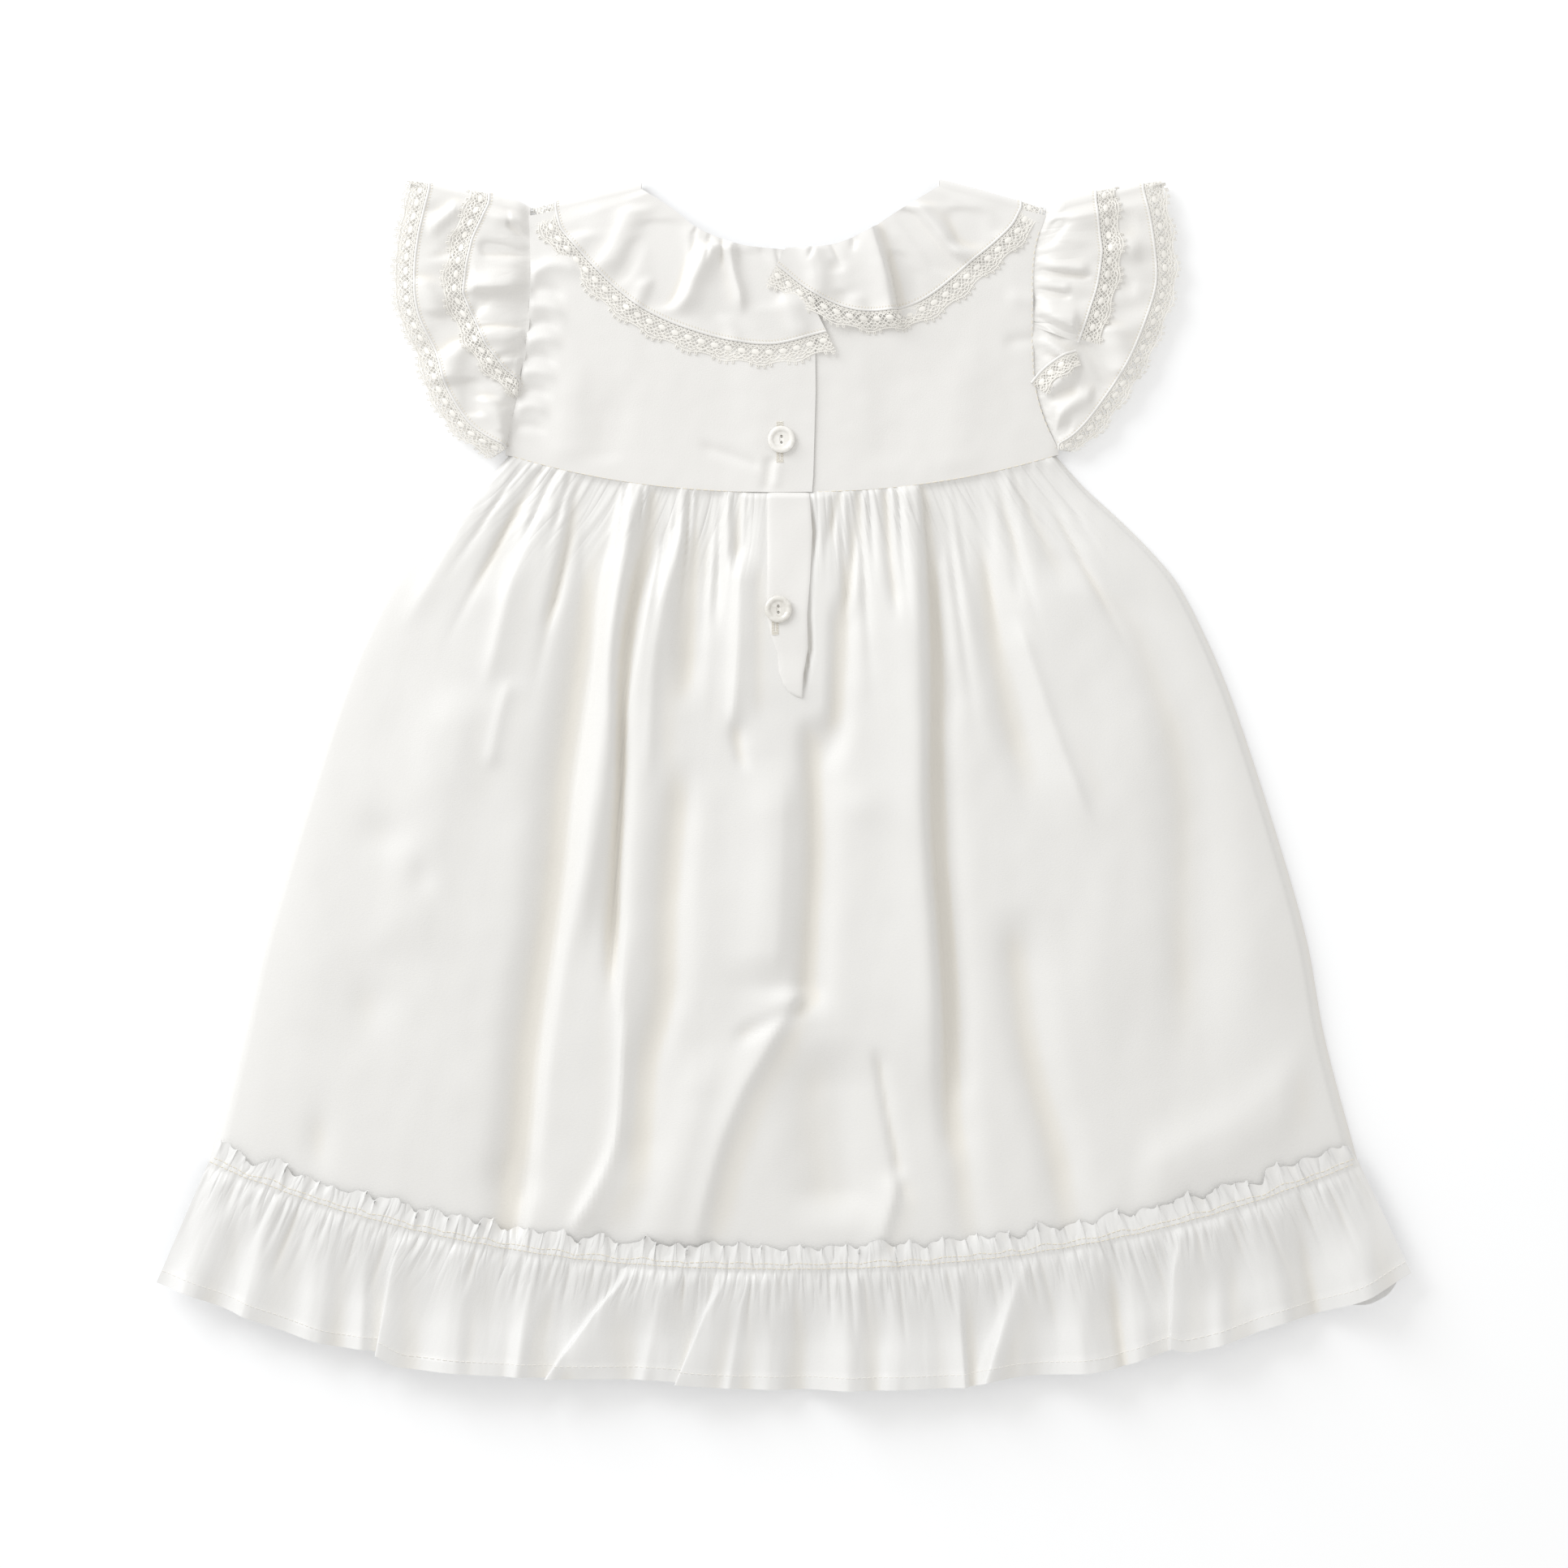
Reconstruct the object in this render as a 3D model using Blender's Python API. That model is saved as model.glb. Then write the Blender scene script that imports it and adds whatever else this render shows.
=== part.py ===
"""A baby dress laid flat on its front, seen from the back.

The neck points to +Y and the hem to -Y. The front panels lie on the surface at z = 0, and every
other piece is stacked on them, 0.3 mm apart. Sizes are in millimetres and become metres at the end.
"""

import math
from collections import namedtuple

import bmesh
import bpy
from mathutils import Vector

MM = 0.001

# Cloth
WALL = 1.5
GAP = 0.3
LAYER = WALL + GAP
LACE_WALL = 1.2
LACE_WIDTH = 8.5

# Skirt
WAIST_SAG = 14.2
HEM_SAG = 41.0
SAG_POWER = 2.25
SKIRT_PUFF = 6.5
SKIRT_COLUMNS = 84
SKIRT_ROWS = 14
ROW_CROWDING = 1.3
PLEATS = 28
PLEAT_HEIGHT = 1.3
PLEAT_REACH = 20.0
PLEAT_SPAN = 210.0
FOLD_FADE = 14.0
FRONT_SKIRT_GRID = (16, 8)

# Placket
SLIT_X = 6.0
SLIT_WIDTH = 0.8
SLIT_FOOT_Y = 36.0
BAND_LEFT = -6.4
BAND_FOOT_Y = 33.0
BAND_GRID = (3, 14)
UNDERLAP_RIGHT = 9.0
UNDERLAP_GRID = (2, 6)
LAP_START = -14.0
LAP_END = -7.6

# Flounce
HEADING = 8.5
FLOUNCE_COLUMNS = 144
FLOUNCE_LIFT = 0.8
FLOUNCE_GATHERS = 48
FLOUNCE_REST = 2.6
HEM_LIFT = 3.0
FRONT_FLOUNCE_GRID = (36, 2)
FRONT_HEM_INSET = 1.5
FRONT_HEM_SHOWS = 3.5

# Bodice
BODICE_PUFF = 1.6
BODICE_HALF_WIDTH = 106.0
BODICE_ROWS = 8
ARMHOLE_STEPS = 22

# Collar and sleeves
FOLD_STEPS = 3
COLLAR_COLUMNS = (26, 5)
COLLAR_ROWS = 5
SLEEVE_COLUMNS = (22, 5)
SLEEVE_ROWS = 4
LACE_JOIN = 0.35
TIER_STEP = 2.3
SLEEVE_REST = 4.6
FLUTES = 7
FLUTE_HEIGHT = 3.2
UPPER_FLUTE_HEIGHT = 1.4

# Buttons
BUTTON_RADIUS = 5.2
BUTTON_THICKNESS = 2.2
BUTTON_HOLE_RADIUS = 0.65
BUTTON_HOLE_OFFSET = 1.3
BUTTON_SIDES = 24
UPPER_BUTTON = (-1.0, 132.8)
LOWER_BUTTON = (-2.2, 67.2)

SideRow = namedtuple("SideRow", "y left right")
SKIRT_SIDES = (
    SideRow(127.0, -105.9, 104.6),
    SideRow(114.4, -117.8, 116.0),
    SideRow(101.9, -133.1, 129.5),
    SideRow(89.4, -144.7, 142.0),
    SideRow(76.9, -153.4, 152.2),
    SideRow(51.9, -165.9, 165.0),
    SideRow(26.9, -175.3, 175.0),
    SideRow(-23.1, -191.3, 191.3),
    SideRow(-60.6, -202.2, 201.9),
    SideRow(-98.1, -210.6, 208.8),
    SideRow(-146.0, -221.9, 221.6),
)

# A fold of the skirt runs down through three places. A positive height is a ridge, a negative one
# a valley, and left and right say how wide it is on each side of its line.
SkirtFold = namedtuple("SkirtFold", "top middle foot height left right")
SKIRT_FOLDS = (
    SkirtFold((-68, 135), (-81, 0), (-104, -175), -7.0, 9, 6),
    SkirtFold((-48, 135), (-62, 45), (-68, -85), -6.5, 6, 6),
    SkirtFold((-59, 120), (-67, 65), (-71, -90), 4.5, 6, 5),
    SkirtFold((-56, 10), (-58, -75), (-80, -190), 4.5, 8, 12),
    SkirtFold((-29, 100), (-34, 68), (-37, 30), -3.5, 4, 5),
    SkirtFold((-18, 90), (-18, 60), (-19, 15), 3.0, 3, 5),
    SkirtFold((-94, 120), (-104, 100), (-116, 72), -2.5, 6, 6),
    SkirtFold((-116, 114), (-130, 90), (-146, 60), 2.0, 4, 8),
    SkirtFold((-95, 110), (-106, 75), (-115, 35), 2.0, 3, 6),
    SkirtFold((53, 135), (55, 10), (66, -125), -7.0, 5, 14),
    SkirtFold((49, 125), (49, 0), (56, -140), 3.5, 12, 5),
    SkirtFold((72, 130), (83, 55), (105, -15), -4.0, 8, 9),
    SkirtFold((92, -35), (97, -95), (114, -190), -3.5, 9, 10),
    SkirtFold((92, 130), (100, 102), (109, 74), -3.5, 7, 12),
    SkirtFold((122, 85), (144, 38), (156, -60), -4.0, 10, 16),
    SkirtFold((27, 105), (23, 60), (18, 12), -3.0, 4, 5),
    SkirtFold((38, 112), (40, 90), (42, 68), -2.5, 4, 4),
    SkirtFold((11, 22), (12, -30), (8, -88), -4.5, 5, 12),
    SkirtFold((-3, 10), (-3, -35), (-2, -82), 3.0, 10, 7),
    SkirtFold((7, -84), (-16, -122), (-34, -185), 4.0, 9, 8),
    SkirtFold((20, -100), (20, -135), (24, -172), -4.5, 15, 14),
    SkirtFold((36, -100), (40, -128), (45, -160), 2.5, 5, 5),
    SkirtFold((150, -100), (175, -128), (185, -150), -3.0, 28, 28),
    SkirtFold((-148, -10), (-158, -75), (-180, -150), -2.5, 14, 14),
    SkirtFold((-122, 40), (-138, -20), (-150, -70), 1.5, 12, 14),
)

FlounceRow = namedtuple("FlounceRow", "x y")
HEM_LINE = (
    FlounceRow(-241.6, -191.9),
    FlounceRow(-213.1, -202.5),
    FlounceRow(-178.1, -215.3),
    FlounceRow(-151.3, -219.5),
    FlounceRow(-142.2, -224.6),
    FlounceRow(-102.8, -228.1),
    FlounceRow(-50.0, -229.6),
    FlounceRow(-12.2, -233.4),
    FlounceRow(66.6, -232.5),
    FlounceRow(89.7, -228.4),
    FlounceRow(125.0, -225.4),
    FlounceRow(153.1, -216.5),
    FlounceRow(162.0, -218.3),
    FlounceRow(189.1, -208.6),
    FlounceRow(222.8, -198.6),
    FlounceRow(241.6, -188.4),
)

# A wave of the flounce, by where it stands at its seam and at the hem.
FlounceFold = namedtuple("FlounceFold", "seam hem height left right")
FLOUNCE_FOLDS = (
    FlounceFold(-214, -230, 4.0, 6, 8),
    FlounceFold(-196, -206, 5.0, 6, 7),
    FlounceFold(-176, -181, 4.5, 6, 6),
    FlounceFold(-146, -148, 7.5, 3, 12),
    FlounceFold(-124, -128, 4.5, 6, 6),
    FlounceFold(-106, -110, 4.0, 5, 6),
    FlounceFold(-58, -83, 7.5, 3, 14),
    FlounceFold(-22, -33, 7.5, 3, 14),
    FlounceFold(-2, -4, 3.5, 5, 7),
    FlounceFold(24, 26, 4.0, 6, 7),
    FlounceFold(45, 42, 3.0, 5, 5),
    FlounceFold(65, 70, 6.5, 5, 3),
    FlounceFold(91, 79, 6.0, 4, 8),
    FlounceFold(112, 118, 5.0, 6, 7),
    FlounceFold(134, 136, 3.5, 5, 5),
    FlounceFold(153, 156, 7.5, 3, 12),
    FlounceFold(180, 190, 5.0, 7, 8),
    FlounceFold(206, 222, 4.5, 6, 8),
)

# Each half of the collar, from the centre of the back up to the fold on the shoulder, and on
# round to the centre of the front.
CollarSide = namedtuple("CollarSide", "neck edge front_neck front_edge")
COLLAR_LEFT = CollarSide(
    neck=((1.0, 205.6), (-16.6, 207.8), (-33.1, 214.1), (-42.8, 221.6), (-55.0, 229.4)),
    edge=((20.0, 166.8), (-5.6, 161.2), (-37.2, 166.8), (-64.7, 180.3), (-93.0, 209.8),
          (-96.4, 220.2)),
    front_neck=((-1.0, 193.0), (-22.0, 197.0), (-40.0, 209.0), (-55.0, 229.4)),
    front_edge=((-1.0, 153.0), (-25.0, 154.0), (-60.0, 165.0), (-88.0, 190.0), (-96.4, 220.2)),
)
COLLAR_RIGHT = CollarSide(
    neck=((0.6, 206.3), (19.1, 207.8), (32.2, 213.1), (42.5, 220.0), (60.0, 230.6)),
    edge=((-6.9, 192.5), (12.2, 180.3), (33.0, 174.2), (56.3, 178.8), (80.9, 198.1), (95.0, 211.6),
          (99.6, 220.2)),
    front_neck=((1.0, 193.0), (22.0, 197.0), (42.0, 209.0), (60.0, 230.6)),
    front_edge=((1.0, 153.0), (25.0, 154.0), (60.0, 165.0), (89.0, 190.0), (99.6, 220.2)),
)

# A puff of a collar, by its place between the centre back (0) and the shoulder (1).
Puff = namedtuple("Puff", "place height width")
PUFFS_LEFT = (
    Puff(0.33, 3.0, 0.035),
    Puff(0.43, 2.4, 0.03),
    Puff(0.54, 4.0, 0.05),
    Puff(0.68, 2.8, 0.05),
    Puff(0.82, 2.4, 0.06),
    Puff(0.94, 1.6, 0.05),
)
PUFFS_RIGHT = (
    Puff(0.20, 2.0, 0.035),
    Puff(0.32, 2.2, 0.04),
    Puff(0.45, 4.6, 0.05),
    Puff(0.60, 3.6, 0.05),
    Puff(0.74, 3.0, 0.05),
    Puff(0.88, 2.0, 0.05),
)

# Each sleeve is set into its armhole from the underarm up to the shoulder, and flares out to its
# edge. The reach is how much of the lower tier the upper one covers.
SleeveSide = namedtuple("SleeveSide", "armhole edge reach upper_start")
Reach = namedtuple("Reach", "s share")
SLEEVE_LEFT = SleeveSide(
    armhole=((-106.8, 129.6), (-101.6, 153.4), (-98.2, 176.9), (-97.0, 200.0), (-97.8, 220.4)),
    edge=((-113.0, 125.4), (-123.8, 132.2), (-130.0, 137.8), (-138.4, 151.9), (-142.5, 165.9),
          (-149.1, 180.3), (-150.9, 192.8), (-149.7, 210.3), (-145.0, 231.6)),
    reach=(Reach(0.0, 0.30), Reach(0.15, 0.40), Reach(0.35, 0.66), Reach(0.60, 0.66), Reach(0.80, 0.58),
           Reach(1.0, 0.52)),
    upper_start=0.22,
)
SLEEVE_RIGHT = SleeveSide(
    armhole=((105.6, 129.0), (99.8, 142.8), (96.6, 155.9), (95.8, 180.0), (96.6, 205.0),
             (101.0, 220.4)),
    edge=((111.5, 128.0), (119.7, 133.1), (128.4, 143.4), (140.9, 162.8), (149.1, 183.1),
          (151.9, 195.6), (150.0, 216.0), (146.6, 231.6)),
    reach=(Reach(0.0, 0.86), Reach(0.15, 0.84), Reach(0.28, 0.78), Reach(0.42, 0.56), Reach(0.70, 0.59),
           Reach(1.0, 0.56)),
    upper_start=0.06,
)

# The back edge that laps over, from the neck down to the skirt, and the band that carries it on.
LapRow = namedtuple("LapRow", "y x")
LAP_EDGE = (
    LapRow(206.0, 11.8),
    LapRow(165.0, 12.2),
    LapRow(133.0, 11.3),
    LapRow(113.0, 9.6),
    LapRow(97.0, 10.9),
    LapRow(79.0, 10.0),
    LapRow(65.0, 8.9),
    LapRow(52.0, 9.2),
    LapRow(42.0, 7.4),
    LapRow(33.0, 7.0),
)

NeckRow = namedtuple("NeckRow", "x y")
BACK_TOP = (
    NeckRow(-97.0, 219.2),
    NeckRow(-56.0, 228.0),
    NeckRow(-42.8, 221.0),
    NeckRow(-33.1, 213.5),
    NeckRow(-16.6, 207.2),
    NeckRow(0.0, 205.2),
    NeckRow(19.1, 207.0),
    NeckRow(32.2, 212.4),
    NeckRow(42.5, 219.4),
    NeckRow(60.0, 229.2),
    NeckRow(101.0, 219.2),
)
FRONT_TOP = (
    NeckRow(-97.0, 219.2),
    NeckRow(-56.0, 228.0),
    NeckRow(-40.0, 208.0),
    NeckRow(-22.0, 196.0),
    NeckRow(0.0, 192.0),
    NeckRow(22.0, 196.0),
    NeckRow(42.0, 208.0),
    NeckRow(60.0, 229.2),
    NeckRow(101.0, 219.2),
)

SATIN = (0.87, 0.85, 0.80, 1.0)
LACE = (0.89, 0.86, 0.78, 1.0)
PEARL = (0.86, 0.80, 0.72, 1.0)


def mix(first, second, share):
    return first + (second - first) * share


def ease(low, high, value):
    """A soft rise from 0 at low to 1 at high."""
    share = min(max((value - low) / (high - low), 0.0), 1.0)
    return share * share * (3 - 2 * share)


def read_table(rows, key, column, at):
    """A column's value at a place between rows that rise or fall by their key."""
    rows = sorted(rows, key=lambda row: getattr(row, key))
    at = min(max(at, getattr(rows[0], key)), getattr(rows[-1], key))
    for low, high in zip(rows, rows[1:]):
        if at <= getattr(high, key):
            break
    share = (at - getattr(low, key)) / (getattr(high, key) - getattr(low, key))
    return mix(getattr(low, column), getattr(high, column), share)


class Curve:
    """A smooth line through a few points, asked for by the fraction of its length."""

    def __init__(self, points):
        self.points = [Vector(point) for point in points]
        self.along = [0.0]
        for before, after in zip(self.points, self.points[1:]):
            self.along.append(self.along[-1] + (after - before).length)

    def slope(self, index):
        low = max(index - 1, 0)
        high = min(index + 1, len(self.points) - 1)
        return (self.points[high] - self.points[low]) / (self.along[high] - self.along[low])

    def at(self, fraction):
        place = min(max(fraction, 0.0), 1.0) * self.along[-1]
        index = 0
        while index < len(self.points) - 2 and place > self.along[index + 1]:
            index += 1
        span = self.along[index + 1] - self.along[index]
        t = (place - self.along[index]) / span
        start, end = self.points[index], self.points[index + 1]
        return (
            start * (2 * t**3 - 3 * t**2 + 1)
            + self.slope(index) * span * (t**3 - 2 * t**2 + t)
            + end * (3 * t**2 - 2 * t**3)
            + self.slope(index + 1) * span * (t**3 - t**2)
        )


LEFT_SIDE = Curve([(row.left, row.y) for row in SKIRT_SIDES])
RIGHT_SIDE = Curve([(row.right, row.y) for row in SKIRT_SIDES])
HEM = Curve(HEM_LINE)


def finish(name, colour, roughness):
    """One node: an object of this name, with its own material."""
    material = bpy.data.materials.new(name)
    material.use_nodes = True
    shader = material.node_tree.nodes["Principled BSDF"]
    shader.inputs["Base Color"].default_value = colour
    shader.inputs["Roughness"].default_value = roughness
    shader.inputs["Metallic"].default_value = 0.0
    thing = bpy.data.objects.new(name, bpy.data.meshes.new(name))
    thing.data.materials.append(material)
    bpy.context.scene.collection.objects.link(thing)
    return thing


def cloth(name, columns, rows, place, colour=SATIN, roughness=0.45, cut=None):
    """A wall of cloth: place(column, row) gives each inner point and the step to its outer one."""
    mesh = bmesh.new()
    outward = mesh.verts.layers.float_vector.new("outward")
    bmesh.ops.create_grid(mesh, x_segments=columns, y_segments=rows, size=1)
    if cut:
        holes = []
        for face in mesh.faces:
            middle = face.calc_center_median()
            if cut(int((middle.x + 1) / 2 * columns), int((middle.y + 1) / 2 * rows)):
                holes.append(face)
        bmesh.ops.delete(mesh, geom=holes, context="FACES")
    for vert in mesh.verts:
        column = round((vert.co.x + 1) / 2 * columns)
        row = round((vert.co.y + 1) / 2 * rows)
        point, step = place(column, row)
        vert.co = Vector(point) * MM
        vert[outward] = Vector(step) * MM
    wall = bmesh.ops.extrude_face_region(mesh, geom=mesh.faces[:], use_keep_orig=True)
    for vert in wall["geom"]:
        if isinstance(vert, bmesh.types.BMVert):
            vert.co += vert[outward]
    bmesh.ops.recalc_face_normals(mesh, faces=mesh.faces)
    thing = finish(name, colour, roughness)
    mesh.to_mesh(thing.data)
    mesh.free()
    thing.data.shade_smooth()
    thing.data.set_sharp_from_angle(angle=math.radians(60))
    return thing


# Skirt


def skirt_row(down, choose_x):
    """A place on one row of the skirt, from the waist (0) to the flounce (1), at the x that is chosen
    between the row's ends, with how far off the middle it is."""
    left, right = LEFT_SIDE.at(down), RIGHT_SIDE.at(down)
    x = choose_x(left.x, right.x)
    off_middle = min(abs(x - (left.x + right.x) / 2) / ((right.x - left.x) / 2), 1.0)
    ends = mix(left.y, right.y, (x - left.x) / (right.x - left.x))
    return x, ends - mix(WAIST_SAG, HEM_SAG, down) * (1 - off_middle**SAG_POWER), off_middle


def skirt_at(share, down):
    return skirt_row(down, lambda left, right: mix(left, right, share))


def waist_y(x):
    return skirt_row(0, lambda left, right: min(max(x, left), right))[1]


def fold_line(fold, y):
    """Where a fold's line is at this height, on a curve through its three places."""
    (x0, y0), (x1, y1), (x2, y2) = fold.top, fold.middle, fold.foot
    first = x0 * (y - y1) * (y - y2) / ((y0 - y1) * (y0 - y2))
    second = x1 * (y - y0) * (y - y2) / ((y1 - y0) * (y1 - y2))
    third = x2 * (y - y0) * (y - y1) / ((y2 - y0) * (y2 - y1))
    return first + second + third


def fold_height(fold, x, y):
    if not fold.foot[1] < y < fold.top[1]:
        return 0.0
    off = x - fold_line(fold, y)
    width = fold.left if off < 0 else fold.right
    fade = ease(fold.foot[1], fold.foot[1] + FOLD_FADE, y) * ease(fold.top[1], fold.top[1] - FOLD_FADE, y)
    return fold.height * fade * math.exp(-((off / width) ** 2))


def skirt_under(x, y, off_middle, depth):
    """The inner face of the back skirt: a soft puff with the folds in it, low along the sides."""
    folds = sum(fold_height(fold, x, y) for fold in SKIRT_FOLDS)
    pleat = math.sin(2 * math.pi * PLEATS * (x / PLEAT_SPAN + 0.5) + 1.3 * math.sin(x / 9))
    pleats = PLEAT_HEIGHT * pleat * math.exp(-depth / PLEAT_REACH)
    waist = mix(0.35, 1.0, ease(0, 60, depth))
    pressed = ease(-13, -8, x) * ease(20, 14, x) * ease(20, 32, y)
    rise = SKIRT_PUFF * waist + (folds + pleats) * (1 - pressed)
    lap = LAYER * ease(-28, -16, x) * ease(36, 22, x) * ease(24, 40, y)
    rise = 0.5 * (rise + math.hypot(rise, 1.2)) + lap
    side = math.sqrt(max(1 - off_middle**7, 0.0))
    return LAYER + rise * side


def back_skirt():
    """The back skirt, with the slit of the placket left open between two of its columns."""
    left_columns = SKIRT_COLUMNS // 2
    right_columns = SKIRT_COLUMNS - left_columns - 1

    def place(column, row):
        def choose_x(left, right):
            if column <= left_columns:
                return mix(left, SLIT_X, column / left_columns)
            return mix(SLIT_X + SLIT_WIDTH, right, (column - left_columns - 1) / right_columns)

        x, y, off_middle = skirt_row((row / SKIRT_ROWS) ** ROW_CROWDING, choose_x)
        height = skirt_under(x, y, off_middle, waist_y(x) - y)
        return (x, y - GAP * (row == 0), height), (0, 0, WALL)

    def slit(column, row):
        foot = skirt_at(0.5, ((row + 1) / SKIRT_ROWS) ** ROW_CROWDING)[1]
        return column == left_columns and foot > SLIT_FOOT_Y

    return cloth("back_skirt", SKIRT_COLUMNS, SKIRT_ROWS, place, cut=slit)


def front_skirt():
    columns, rows = FRONT_SKIRT_GRID

    def place(column, row):
        x, y, _ = skirt_at(column / columns, row / rows)
        return (x, y - GAP * (row == 0) + GAP * (row == rows), 0), (0, 0, WALL)

    return cloth("front_skirt", columns, rows, place)


# Flounce


def flounce_ray(share):
    """The seam place, the hem place and the direction between them."""
    seam = Vector(skirt_at(share, 1)[:2])
    hem = HEM.at(share)
    return seam, hem, (hem - seam).normalized()


def gather(share):
    """The small even gathers along the flounce's seam, from -1 to 1."""
    return math.sin(2 * math.pi * FLOUNCE_GATHERS * share + 0.9 * math.sin(23 * share))


def flounce_wave(share, down):
    """How high the flounce stands over its rest, from its folds and its gathers."""
    seam, hem, _ = flounce_ray(share)
    x = mix(seam.x, hem.x, down)
    height = 0.0
    for fold in FLOUNCE_FOLDS:
        off = x - mix(fold.seam, fold.hem, down)
        width = fold.left if off < 0 else fold.right
        height += fold.height * math.exp(-((off / width) ** 2))
    return height * mix(0.25, 1.0, down) + (1 + gather(share)) * mix(0.7, 0.25, down)


def skirt_over(x, y):
    """The outer face of the back skirt near its foot."""
    left, right = skirt_at(0, 1)[0], skirt_at(1, 1)[0]
    off_middle = min(abs(x - (left + right) / 2) / ((right - left) / 2), 1.0)
    return skirt_under(x, y, off_middle, waist_y(0) - y) + WALL


def back_flounce():
    """The gathered strip: its heading stands on the skirt above the seam, and its hem hangs free."""
    steps = (-HEADING, -HEADING / 2, 0.0, 0.3, 0.65, 1.0)

    def place(column, row):
        share, step = column / FLOUNCE_COLUMNS, steps[row]
        seam, hem, way = flounce_ray(share)
        nearby = [skirt_over(seam.x + off, seam.y + rise) for off in (-3, 0, 3) for rise in (0, 5, 10)]
        over = max(nearby) + FLOUNCE_LIFT
        if step <= 0:
            point = seam + way * step * (1 + 0.12 * gather(share))
            height = over + 0.9 * (1 + gather(share)) * (-step / HEADING)
        else:
            point = seam + (hem - seam) * step
            free = FLOUNCE_REST + HEM_LIFT * step + flounce_wave(share, step)
            height = mix(over, free, ease(0, 0.65, step))
        return (point.x, point.y, height), (0, 0, WALL)

    return cloth("back_flounce", FLOUNCE_COLUMNS, len(steps) - 1, place)


def front_flounce():
    """The front strip lies just inside the back one, but for a short stretch near the right corner."""
    columns, rows = FRONT_FLOUNCE_GRID

    def place(column, row):
        share = column / columns
        seam, hem, way = flounce_ray(share)
        shows = ease(0.93, 0.965, share) * ease(1.0, 0.975, share)
        foot = hem - way * mix(FRONT_HEM_INSET, -FRONT_HEM_SHOWS, shows)
        point = seam + (foot - seam) * (row / rows) + way * GAP * (row == 0)
        return (point.x, point.y, 0), (0, 0, WALL)

    return cloth("front_flounce", columns, rows, place)


# Bodice


def front_bodice_under(x, y):
    """The front bodice lies on the surface at the waist and on the front collar above it."""
    return LAYER * ease(132, 150, y)


def bodice_base(x, y):
    """The inner face of the back bodice where nothing is lapped."""
    puff = BODICE_PUFF * math.sqrt(max(1 - (x / BODICE_HALF_WIDTH) ** 6, 0.0)) * ease(230, 200, y)
    return front_bodice_under(x, y) + LAYER + puff


def panel(name, columns, left, right, top, under):
    """A bodice panel from the waist seam up to its neck and shoulder line."""

    def place(column, row):
        share, up = column / columns, row / BODICE_ROWS
        side_y = mix(SKIRT_SIDES[0].y, top[0].y, up)
        x = mix(left(side_y), right(side_y), share)
        y = mix(waist_y(x) + GAP, read_table(top, "x", "y", x), up)
        return (x, y, under(x, y)), (0, 0, WALL)

    return cloth(name, columns, BODICE_ROWS, place)


def armhole_rows(side):
    curve = Curve(side.armhole)
    return [NeckRow(*curve.at(step / ARMHOLE_STEPS)) for step in range(ARMHOLE_STEPS + 1)]


def left_armhole(y):
    return read_table(armhole_rows(SLEEVE_LEFT), "y", "x", y) + 2 * GAP


def right_armhole(y):
    return read_table(armhole_rows(SLEEVE_RIGHT), "y", "x", y) - 2 * GAP


def lap_edge(y):
    return read_table(LAP_EDGE, "y", "x", y)


def lapped(x, y):
    """The left half's inner face, which rises to lie on the right half where they lap."""
    return bodice_base(x, y) + LAYER * ease(LAP_START, LAP_END, x)


def bodice():
    panel("front_bodice", 16, left_armhole, right_armhole, FRONT_TOP, front_bodice_under)
    panel("back_bodice_right", 14, lambda y: BAND_LEFT, right_armhole, BACK_TOP, bodice_base)
    panel("back_bodice_left", 18, left_armhole, lap_edge, BACK_TOP, lapped)


# Collar and sleeves


def folded(name, back, front, under, rest, shares, columns, rows, wall, colour=SATIN):
    """Cloth folded over the shoulder: back(s, t) and front(s, t) give places in plan, under(s, t) the
    height of the back half's inner face, and rest the height that the front half lies at."""
    start, low, high = shares
    back_columns, front_columns = columns

    def place(column, row):
        across = mix(low, high, row / rows)
        if column <= back_columns:
            s = mix(start, 1, column / back_columns)
            x, y = back(s, across)
            return (x, y, under(s, across)), (0, 0, wall)
        turn = math.pi * (column - back_columns) / FOLD_STEPS
        if turn < math.pi - 0.01:
            x, y = back(1, across)
            half = (under(1, across) - rest - wall) / 2
            point = (x, y + half * math.sin(turn), rest + wall + half + half * math.cos(turn))
            return point, (0, wall * math.sin(turn), wall * math.cos(turn))
        s = mix(1, start, (column - back_columns - FOLD_STEPS) / front_columns)
        x, y = front(s, across)
        return (x, y, rest + wall), (0, 0, -wall)

    total = back_columns + FOLD_STEPS + front_columns
    return cloth(name, total, rows, place, colour)


def fan(inner, outer):
    """Places between two curves, by the fraction along them and the fraction across."""
    inner, outer = Curve(inner), Curve(outer)

    def place(s, t):
        return inner.at(s).lerp(outer.at(s), t)

    def length(s):
        return (outer.at(s) - inner.at(s)).length

    return place, length


def left_stack(x):
    """What the left half of the collar lies on, above the back bodice's inner face."""
    return WALL + LAYER * ease(-18, -10, x)


def right_stack(x):
    """The same for the right half, which also lies on the left one near the centre back."""
    return WALL + 2 * LAYER * ease(36, 24, x)


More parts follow.
